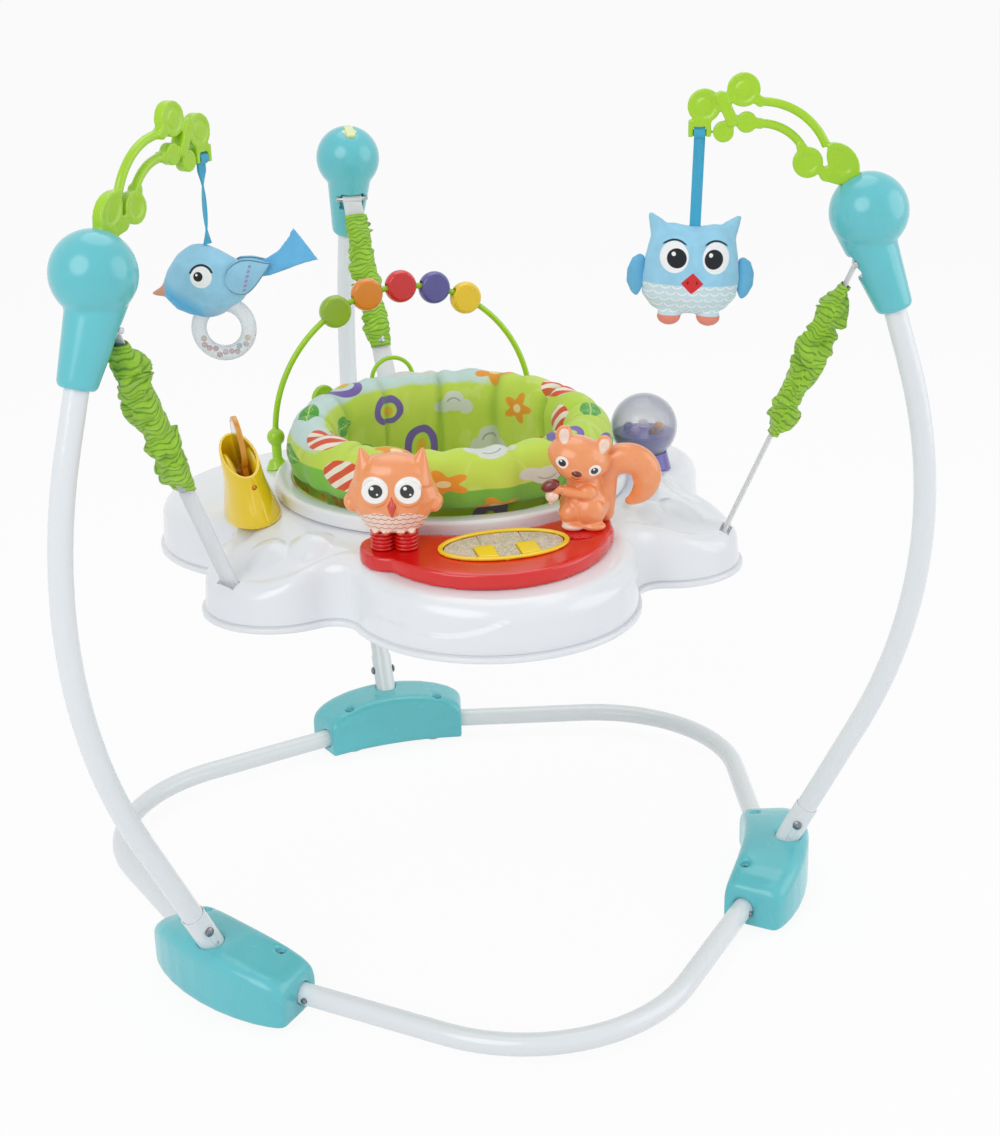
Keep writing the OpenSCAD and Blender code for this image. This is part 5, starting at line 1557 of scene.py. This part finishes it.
class JUMPER_OT_ball(bpy.types.Operator):
    """Clear ball, its purple core with loose bits and its cup"""

    bl_idname = "jumper.ball"
    bl_label = "Clear ball"

    # Beads of the core by their turn round the axle: the others stay purple
    bead_shades = {0: "E8A53A", 1: "E9E6F2", 3: "B79BDA", 4: "7A5A3A"}

    def execute(self, context):
        purple = moulded("purple_plastic", colours().purple, 0.25, 0.3)
        dress_moulded(["ball_cradle"], "tray", "purple_plastic", purple, 0.9 * MM, 4)
        clear = clear_plastic("clear_ball_plastic", srgb("B9BCCB"), 0.16, 0.8)
        dress(["clear_ball"], "ball", "clear_plastic", clear, 60)
        form = rounded(cad_form("ball_core"), 1.2 * MM, 2)
        core = new_object(form, "ball_core_moulding", self.core(), 50)
        settle(core, "ball", "purple_plastic", "ball_core")
        return {"FINISHED"}

    def core(self):
        """Purple core whose beads take turns in colour round the axle."""
        f = Finish("ball_core_plastic")
        centre = joint_point("ball_spin")
        x, y, z = f.local(at(centre))
        turn = (y.math("ARCTAN2", x) * (5 / (2 * math.pi)) + 5.5).floor() % 5
        top = (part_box("ball_core")[1].z - centre.z) / MM
        bead = z.above(top - 9, 1) * round_distance(x, y).above(10, 1)
        flow = f.noise(60, 3)
        ground = f.mix(flow, colours().purple, scaled(colours().purple, 1.5))
        for number, code in self.bead_shades.items():
            mine = abs(turn - number).below(0.5, 0.1)
            ground = f.paint(ground, (bead * mine, srgb(code)))
        return f.set(base_color=ground, roughness=0.25 + flow * 0.15, coat_weight=0.3)


class JUMPER_OT_arch(bpy.types.Operator):
    """Bead arch and its five beads"""

    bl_idname = "jumper.arch"
    bl_label = "Bead arch"

    shades = {
        "green": "99C11C",
        "orange": "F39006",
        "red": "E21C1E",
        "purple": "5B55A4",
        "yellow": "FCD20C",
    }

    def execute(self, context):
        lime = moulded("arch_plastic", colours().lime, 0.22, 0.3)
        dress_moulded(["arch_rod"], "tray", "lime_plastic", lime, 0.9 * MM, 8)
        for name, code in self.shades.items():
            finish = moulded(name + "_bead_plastic", srgb(code), 0.18, 0.45)
            dress_moulded(["bead_" + name], name + "_bead", name + "_bead", finish, 0.9 * MM, 4)
        return {"FINISHED"}


def print_layers(along, up):
    """Generic print in flat cloth millimetres: balls, rings, stars, leaves and clouds on a grid."""
    wide, tall, larger = 86.4, 50, 1.2
    along, up = along / larger, up / larger
    row = (up / tall + 0.5).floor()
    shifted = along / wide + row * 0.5
    column = shifted.floor()
    x = (shifted - column - 0.5) * wide
    y = up - row * tall
    pick = (column * 2 + row * 3) % 5
    off = round_distance(x, y)
    spin = y.math("ARCTAN2", x)
    ball = off.below(24, 0.8)
    stripes = ((x * 0.8 + y * 0.6) * (2 * math.pi / 15)).math("SINE").above(0.1, 0.15)
    ring = abs(off - 17).below(4.5, 0.8)
    star = (off + (spin * 5).math("COSINE") * 5).below(17, 0.8)
    leaf = (abs(y) + x * x * 0.019).below(14, 0.8)
    vein = abs(y).below(0.8, 0.5) + abs(abs(y) - abs(x % 11 - 5.5) * 0.9).below(0.6, 0.5) * 0.6
    puffs = round_distance(x, y - 4).below(14, 0.8)
    puffs = puffs.most(round_distance(abs(x) - 15, y + 3).below(10, 0.8))
    kinds = (
        ((ball, "E2552F"), (ball * stripes, "F7F1DE")),
        ((ring, "7C66B4"), (off.below(7, 0.8), "F2C53A")),
        ((star, "F3A02B"), (off.below(6, 0.8), "FBE7A8")),
        ((leaf, "4FA83C"), (leaf * vein.clamp(), "BFE27A")),
        ((puffs, "DDE3DA"), (abs(off - 9).below(1, 0.6) * y.above(4, 1), "AEB6AA")),
    )
    layers = []
    for number, shapes in enumerate(kinds):
        mine = abs(pick - number).below(0.5, 0.1)
        layers += [(mask * mine, srgb(code)) for mask, code in shapes]
    return layers


def printed_cotton(name, colour, centre):
    """Printed cotton whose pattern runs round the seat's axis and over the pad's roll."""
    f = Finish(name)
    x, y, z = f.local(at(centre))
    turn = y.math("ARCTAN2", x)
    roll_r, roll_z = PAD_ROLL
    up = (round_distance(x, y) - roll_r).math("ARCTAN2", z - roll_z) * 46
    layers = print_layers(turn * roll_r, up)
    # Painted shade in the sewn channels' grooves, darker green where they sink
    layers.append((f.attribute("seam") * 0.55, srgb("6E9A1E")))
    hill = (up - (turn * 3).math("SINE") * 9).above(66, 1.5)
    sky = abs(up - 4).below(30, 5) * (y - x * 0.7).above(60, 24)
    fields = ((hill, srgb("7FC545")), (sky * 0.85, srgb("CFE9F2")))
    return cotton(f, colour, fields, layers)


def bowl_cotton(name, colour, centre):
    """The same cotton on the sling: its print lies flat across the bottom and narrows up the sides."""
    f = Finish(name)
    x, y, z = f.local(at(centre))
    spread = (z / 170 + 1.9).most(1)
    return cotton(f, colour, (), print_layers(x * spread, y * spread))


def cotton(f, colour, fields, layers):
    """Creased cotton with broad fields of colour under its print."""
    tone = f.noise(9, 3)
    blades = f.noise(20, 2, 0.4, None, 1.2)
    ground = f.mix(tone.above(0.5, 0.25), colour, srgb("C0E04A"))
    ground = f.paint(ground, (blades.above(0.62, 0.03) * 0.4, srgb("DDEE88")), *fields)
    threads = f.noise(1500, 2)
    creases = f.noise(1, 4, 0.6, f.stretched(f.object_point(), (24, 24, 9)), 0.8)
    return f.set(
        base_color=f.paint(ground, *layers),
        roughness=0.75 + threads * 0.15,
        sheen_weight=0.25,
        sheen_roughness=0.5,
        normal=f.bump(threads, 0.0002, 0.4, f.bump(creases, 0.004, 0.35)),
    )


class JUMPER_OT_seat(bpy.types.Operator):
    """Seat ring, filled and sewn pad, and the sling"""

    bl_idname = "jumper.seat"
    bl_label = "Seat"

    voxel = 0.005
    shrink = 0.005
    pressure = 4.0
    frames = 20
    channels = 13
    roll_r = PAD_ROLL[0] * MM
    roll_z = PAD_ROLL[1] * MM
    back_rise = 0.010
    lining = 0.055
    lining_ease = 0.03
    # Sling: longest edge that isn't divided, and height of its rumples
    sling_edge = 0.012
    sling_rumple = 0.0015

    def execute(self, context):
        white = tray_plastic("white_ring_plastic", colours().tray)
        dress(["seat_ring"], "seat", "white_shell", white, 40, 1.0 * MM)
        self.middle = underside("seat_pad")
        self.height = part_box("seat_pad")[1].z - self.middle.z
        cloth = printed_cotton("printed_cotton", colours().pad, self.middle)
        bm = self.filled()
        self.sew(bm)
        obj = new_object(bm, "seat_pad_cushion", cloth, 180)
        smooth = obj.modifiers.new("smooth", "SUBSURF")
        smooth.levels = 1
        smooth.render_levels = 1
        stuffed(obj, 0.7, "seat", "pad_cloth", "seat_pad")
        self.sling(bowl_cotton("sling_cotton", colours().pad, self.middle))
        return {"FINISHED"}

    def filled(self):
        """The pad's form, filled as a cushion by cloth under pressure."""
        bm = cad_form("seat_pad")
        bmesh.ops.recalc_face_normals(bm, faces=bm.faces)
        for vert, way in [(vert, vert.normal.copy()) for vert in bm.verts]:
            vert.co -= way * self.shrink
        bm = rounded(bm, self.voxel, 2)
        obj = scratch_object(bm)
        rest = [vert.co.copy() for vert in obj.data.vertices]
        cloth = obj.modifiers.new("fill", "CLOTH")
        cloth.settings.use_pressure = True
        cloth.settings.uniform_pressure_force = self.pressure
        cloth.settings.effector_weights.gravity = 0
        cloth.point_cache.frame_start = 1
        cloth.point_cache.frame_end = self.frames
        scene = bpy.context.scene
        for step in range(1, self.frames + 1):
            scene.frame_set(step)
        bm = applied(obj)
        scene.frame_set(1)
        bm.verts.ensure_lookup_table()
        for vert, home in zip(bm.verts, rest):
            move = vert.co - home
            if move.length > sizes().pad_puff:
                vert.co = home + move.normalized() * sizes().pad_puff
        return smoothed(bm, 2)

    def sew(self, bm):
        """Draws the pad in along its sewn channels, deepest inside, lifts its back and keeps a painted
        groove shade.
        """
        bm.normal_update()
        seam = bm.verts.layers.float.new("seam")
        moves = []
        for vert in bm.verts:
            spot = vert.co - self.middle
            angle = math.atan2(spot.y, spot.x) - TRAY_TURN
            way = Vector((math.cos(angle), math.sin(angle), 0.3))
            lean = math.atan2(spot.xy.length - self.roll_r, spot.z - self.roll_z)
            inside = 0.22 + 0.78 * ease((0.7 - lean) / 1.5)
            place = angle / (2 * math.pi) * self.channels + 0.35 * noise.noise(way * 1.9)
            groove = max(0.0, abs(place % 1 - 0.5) * 2 - 0.7) / 0.3
            depth = 0.85 + 0.7 * noise.noise(way * 2.3)
            # Painted shade of the groove, darkest where it sinks deepest and on the inner side
            vert[seam] = min(1, max(0, groove**2.5 * depth * inside))
            rumple = noise.noise(Vector((spot.x * 22, spot.y * 22, spot.z * 14)))
            sink = sizes().channel_depth * groove**1.6 * depth * inside - 0.0016 * rumple
            share = min(1, max(0, spot.z / self.height))
            rise = self.back_rise * ease(math.sin(angle)) * share
            within = ease((self.roll_r - spot.xy.length) / self.lining_ease)
            drop = self.lining * within * ease(1 - spot.z / self.roll_z)
            held = min(1, 8 * share) if spot.xy.length > self.roll_r else 1
            moves.append((vert, vert.normal * -sink * held + Vector((0, 0, rise - drop))))
        for vert, move in moves:
            vert.co += move

    def sling(self, cloth):
        """Cloth bowl with two leg holes, rumpled under the pad."""
        bm = cad_form("seat_sling")
        long = [edge for edge in bm.edges if edge.calc_length() > self.sling_edge]
        bmesh.ops.subdivide_edges(bm, edges=long, cuts=3, use_grid_fill=True)
        bmesh.ops.triangulate(bm, faces=bm.faces)
        bm.normal_update()
        for vert in bm.verts:
            vert.co.z += self.sling_rumple * noise.noise(vert.co * 16)
        obj = new_object(bm, "seat_sling_cloth", cloth, 60)
        settle(obj, "seat", "sling_cloth", "seat_sling")


class JUMPER_OT_bird(bpy.types.Operator):
    """Stuffed bird with its ribbon and rattle ring"""

    bl_idname = "jumper.bird"
    bl_label = "Stuffed bird"

    middle_z = -123
    # Half sizes of the trunk along, across and up
    trunk = (46, 29, 42)
    twist = math.radians(62)
    # Loose beads in the rattle ring
    beads = 11
    bead_r = 3.1
    ring_r = 26
    # Wing in the bird's frame: middle of its round part, radius, and the point of its tip
    wing = (-37, -119)
    wing_r = 18.5
    wing_tip = (-66, -105)
    # How much it thins towards its tip, and how its middle line rises there
    wing_thins = 0.86
    wing_bow = 1.3

    def execute(self, context):
        self.place = at(joint_point("bird_swing")) @ turn_z(BIRD_HEADING)
        voxel = sizes().plush_voxel
        coat = stuffed_velour("bird_velour", colours().sky, self.place, self.coat)
        form = reshaped(rounded(cad_form("bird_body"), voxel, 8), self.place, self.place, self.bowed)
        body = new_object(form, "bird_body_stuffed", coat, 180)
        stuffed(body, 0.8, "bird", "sky_plush", "bird_body")
        deep = stuffed_velour("bird_tail_velour", srgb("6CBFF0"), self.place)
        tail = new_object(rounded(cad_form("bird_tail"), 1.0 * MM, 5), "bird_tail_stuffed", deep, 180)
        stuffed(tail, 0.7, "bird", "blue_plush", "bird_tail")
        self.wings()
        weave = woven_strap("bird_ribbon_weave", colours().ribbon, (0.7, -0.7, 0), (0, 0, 1), 1.2)
        ribbon = new_object(self.ribbon(), "bird_ribbon_twisted", weave, 40)
        settle(ribbon, "bird", "blue_ribbon", "bird_ribbon")
        self.rattle()
        return {"FINISHED"}

    def bowed(self, x, y, z):
        """The head bows forward, so that the beak points down a little."""
        return x, y, z - 10 * ease((x - 12) / 44)

    def ribbon(self):
        """Ribbon that twists edge-on between its two ends."""
        bm = cad_form("bird_ribbon")
        low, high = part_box("bird_ribbon")
        middle = (low + high) / 2
        for share in np.linspace(0.2, 0.98, 40):
            parts = [*bm.verts, *bm.edges, *bm.faces]
            level = Vector((middle.x, middle.y, high.z + (low.z - high.z) * share))
            bmesh.ops.bisect_plane(bm, geom=parts, dist=1e-7, plane_co=level, plane_no=(0, 0, 1))
        for vert in bm.verts:
            share = (high.z - vert.co.z) / (high.z - low.z)
            bow = math.sin(math.pi * min(1, max(0, (share - 0.2) / 0.8)))
            spot = vert.co.xy - middle.xy
            spot.rotate(Matrix.Rotation(self.twist * bow, 2))
            vert.co.xy = middle.xy + spot * (1 - 0.3 * bow)
        return bm

    def coat(self, x, y, z):
        """Eyes with lids, deeper chin and peach beak on both sides, and painted shade underneath."""
        side = abs(y).above(4, 2)
        up = z - (self.middle_z + 8)
        eye = round_distance(x - 5, up)
        pupil = round_distance(x - 8, up - 0.5)
        lid = abs(round_distance(x - 5, up) - 11.6).below(1.1, 0.4) * up.above(3.5, 1)
        glint = round_distance(x - 9.5, up - 2.2).below(1.2, 0.4)
        chin = ((x - 18) * 0.55 - (z - self.middle_z) * 0.9).above(17, 13) * x.above(-8, 10)
        beak = x.above(46.5, 0.8)
        # Painted shade: greyer and a little darker under the body, towards its back
        underside_shade = (z - self.middle_z).below(-26, 3) * x.below(8, 4)
        return (
            (chin * 0.9, colours().deep_sky),
            (underside_shade * 0.3, srgb("B9CDE0")),
            (beak, srgb("D9A188")),
            (eye.below(11, 0.5) * side, srgb("FAFBFA")),
            (pupil.below(4.8, 0.4) * side, srgb("14161A")),
            (glint * side, GLINT),
            (lid * side, srgb("1B2430")),
        )

    def wings(self):
        """Puffed wing panels, round in front and drawn out to a tip, one on each side."""
        blue = scaled(colours().sky, 0.95)
        finish = stuffed_velour("bird_wing_velour", blue, self.place, self.wing_print)
        bm = bmesh.new()
        for side in (-1, 1):
            for vert in lump(bm, (0, 0, 0), (1, 1, 1)):
                back = max(0.0, -vert.co.x)
                thin = 1 - self.wing_thins * back**1.5
                reach = self.wing_r if vert.co.x > 0 else self.wing[0] - self.wing_tip[0]
                x = self.wing[0] + reach * vert.co.x
                lift = (self.wing_tip[1] - self.wing[1]) * back**self.wing_bow
                z = self.wing[1] + self.wing_r * vert.co.z * thin + lift
                out = 6 * vert.co.y * side * thin
                vert.co = (x, side * (self.flank(x, z) + out), z)
        form = rounded(to_place(bm, self.place), 0.9 * MM, 3)
        wings = new_object(form, "bird_wings_stuffed", finish, 180)
        stuffed(wings, 0.5, "bird", "blue_plush")

    def flank(self, x, z):
        """Half width of the trunk under a point of a wing."""
        long, wide, tall = self.trunk
        share = 1 - ((x - 2) / long) ** 2 - ((z - self.middle_z) / tall) ** 2
        return wide * math.sqrt(max(0.1, share))

    def wing_print(self, x, y, z):
        """A row of square stitches down the wing, and a dark line round its front."""
        line_x = -44 - (z - self.wing_tip[1]) * 0.28
        stitch = abs(x - line_x).most(abs(z % 4.6 - 2.3)).below(1.5, 0.4)
        stitch = stitch * abs(z - self.wing[1]).below(14, 1)
        back = ((self.wing[0] - x) / (self.wing[0] - self.wing_tip[0])).clamp()
        front = ((x - self.wing[0]) / self.wing_r).clamp()
        share = (1 - back * back - front * front).most(0)
        half = share.math("SQRT") * (1 - back**1.5 * self.wing_thins) * self.wing_r
        middle = back**self.wing_bow * (self.wing_tip[1] - self.wing[1]) + self.wing[1]
        edge = abs(abs(z - middle) - half + 1.6).below(0.6, 0.3)
        return (
            (stitch * 0.8, srgb("9A86B8")),
            (edge * 0.8, srgb("3D5F7C")),
        )

    def rattle(self):
        """Clear ring with pastel beads inside."""
        ring = clear_plastic("rattle_plastic", srgb("D5E2EA"), 0.34, 0.85)
        dress(["rattle_ring"], "rattle", "clear_plastic", ring, 60)
        centre = joint_point("rattle_spin")
        place = at(centre) @ turn_z(BIRD_HEADING) @ turn_x(math.pi / 2)
        f = Finish("rattle_bead_plastic")
        pick = f.cells(55)
        pink, blue = pick.above(0.4, 0.05), pick.above(0.7, 0.05)
        tint = f.paint(srgb("F2D9A0"), (pink, srgb("F0B8B0")), (blue, srgb("A8D3E8")))
        f.set(base_color=tint, roughness=0.3, coat_weight=0.3)
        bm = bmesh.new()
        for k in range(self.beads):
            turn = math.radians(205 + 13 * k)
            reach = self.ring_r + 2.2 * math.sin(2.4 * k)
            spot = (reach * math.cos(turn), reach * math.sin(turn), 2.5 * math.cos(1.7 * k))
            lump(bm, spot, [self.bead_r] * 3)
        settle(new_object(to_place(bm, place), "rattle_beads", f, 60), "rattle", "clear_plastic")


class JUMPER_OT_plush(bpy.types.Operator):
    """Stuffed owl with its wings, feet and strap"""

    bl_idname = "jumper.plush"
    bl_label = "Stuffed owl"

    aside = -7
    low_z = -196.1
    # How its stuffing spreads it: wider, lower, leaning and drawn to one side of its strap
    widen = 1.2
    lower = 0.91
    dip = 9
    lift = 5
    drift = -4
    lean = math.radians(4)
    # Scallops: width, height of a row, middle and radius of an arc, its line, softness and top
    scallop = (12, 6.8, 8, 5.6, 0.7, 0.5, 5.5)
    strap_from = -20
    strap_l = 84
    strap_reach = 104

    def execute(self, context):
        hung = at(joint_point("plush_owl_swing")) @ turn_z(PLUSH_HEADING)
        home = hung @ at(Vector((self.aside, 0, self.low_z)) * MM)
        self.place = home @ at(Vector((self.drift, 0, self.lift)) * MM) @ turn_y(self.lean)
        coat = stuffed_velour("owl_velour", scaled(colours().sky, 1.04), self.place, self.coat)
        form = rounded(cad_form("owl_plush_body"), sizes().plush_voxel, 7)
        body = new_object(reshaped(form, home, self.place, self.spread), "owl_plush_stuffed", coat, 180)
        stuffed(body, 0.85, "plush_owl", "sky_plush", "owl_plush_body")
        deep = stuffed_velour("owl_wing_velour", srgb("6FC0EA"), self.place)
        form = rounded(cad_form("owl_plush_wings"), 1.0 * MM, 5)
        form = reshaped(form, home, self.place, self.drawn_in)
        wings = new_object(form, "owl_plush_wings_stuffed", deep, 180)
        stuffed(wings, 0.7, "plush_owl", "blue_plush", "owl_plush_wings")
        weave = woven_strap("owl_strap_weave", colours().ribbon, (0.97, -0.26, 0), (0, 0, 1), 1.4)
        form = reshaped(cad_form("owl_strap"), hung, hung, self.drawn_down)
        strap = bevelled(new_object(form, "owl_strap_woven", weave), 0.6 * MM)
        settle(strap, "plush_owl", "blue_ribbon", "owl_strap")
        return {"FINISHED"}

    def spread(self, x, y, z):
        """Body as its stuffing spreads it, with a dip between the ears."""
        x, z = x * self.widen, z * self.lower
        return x, y, z - self.dip * max(0, 1 - (x / 34) ** 2) * ease((z - 62) / 30)

    def drawn_in(self, x, y, z):
        """Wings drawn to the body's sides."""
        return x * 1.1, y, z * self.lower - 2

    def drawn_down(self, x, y, z):
        """Strap that reaches down to the dip, a little aside."""
        share = max(0, (self.strap_from - z) / (self.strap_l + self.strap_from))
        return x + self.drift * share, y, z - (self.strap_reach - self.strap_l) * share

    def coat(self, x, y, z):
        """Big eyes with brows, red beak, scalloped belly and salmon feet."""
        front = y.below(-3, 2)
        aside = abs(x)
        eye = round_distance((aside - 22.5) / 15, (z - 63) / 16.5)
        pupil = round_distance(aside - 20, z - 62).below(10.4, 0.6) * front
        glint = round_distance(x % 40 - 16.5, z - 66.5).below(2.2, 0.5)
        brow = abs(round_distance((aside - 22.5) / 15, (z - 61) / 16.5) - 1.2).below(0.06, 0.03)
        arc = scallops(x, z, *self.scallop)
        belly = z.below(33, 1.2) * front
        off = abs(x + 2)
        beak = (off * 0.82 + abs(z - 36) + off * off * 0.01).below(11.5, 1) * y.below(-8, 2)
        nostril = round_distance((off - 5) / 1.1, (z - 37) / 2).below(1, 0.3)
        feet = z.below(-1.5, 0.8)
        return (
            (belly, srgb("CFE7EF")),
            (belly * arc, srgb("F6FBFC")),
            (eye.below(1, 0.05) * front, srgb("FBFCFC")),
            (pupil, srgb("101820")),
            (glint * pupil, GLINT),
            (brow * z.above(76, 2) * front, srgb("1A2A36")),
            (beak, srgb("DB2F33")),
            (beak * nostril, srgb("7E1418")),
            (feet, srgb("EE8F7C")),
        )


class JUMPER_PT_panel(bpy.types.Panel):
    """Lists the jumper's pieces in the sidebar"""

    bl_idname = "JUMPER_PT_panel"
    bl_label = "Baby jumper"
    bl_space_type = "VIEW_3D"
    bl_region_type = "UI"
    bl_category = "Jumper"

    def draw(self, context):
        column = self.layout.column()
        for operator in OPERATORS:
            column.operator(operator.bl_idname)
        for group in (context.scene.jumper_sizes, context.scene.jumper_colours):
            for name in group.__annotations__:
                column.prop(group, name)


OPERATORS = (
    JUMPER_OT_stage,
    JUMPER_OT_tubes,
    JUMPER_OT_housings,
    JUMPER_OT_heads,
    JUMPER_OT_arms,
    JUMPER_OT_straps,
    JUMPER_OT_sleeves,
    JUMPER_OT_tray,
    JUMPER_OT_console,
    JUMPER_OT_owl,
    JUMPER_OT_squirrel,
    JUMPER_OT_mirror,
    JUMPER_OT_ball,
    JUMPER_OT_arch,
    JUMPER_OT_seat,
    JUMPER_OT_bird,
    JUMPER_OT_plush,
)
CLASSES = (JumperColours, JumperSizes, *OPERATORS, JUMPER_PT_panel)


def register():
    for item in CLASSES:
        bpy.utils.register_class(item)
    bpy.types.Scene.jumper_colours = PointerProperty(type=JumperColours)
    bpy.types.Scene.jumper_sizes = PointerProperty(type=JumperSizes)


def unregister():
    del bpy.types.Scene.jumper_colours
    del bpy.types.Scene.jumper_sizes
    for item in reversed(CLASSES):
        bpy.utils.unregister_class(item)


def main():
    register()
    for operator in OPERATORS:
        group, name = operator.bl_idname.split(".")
        getattr(getattr(bpy.ops, group), name)()


if __name__ == "__main__":
    main()
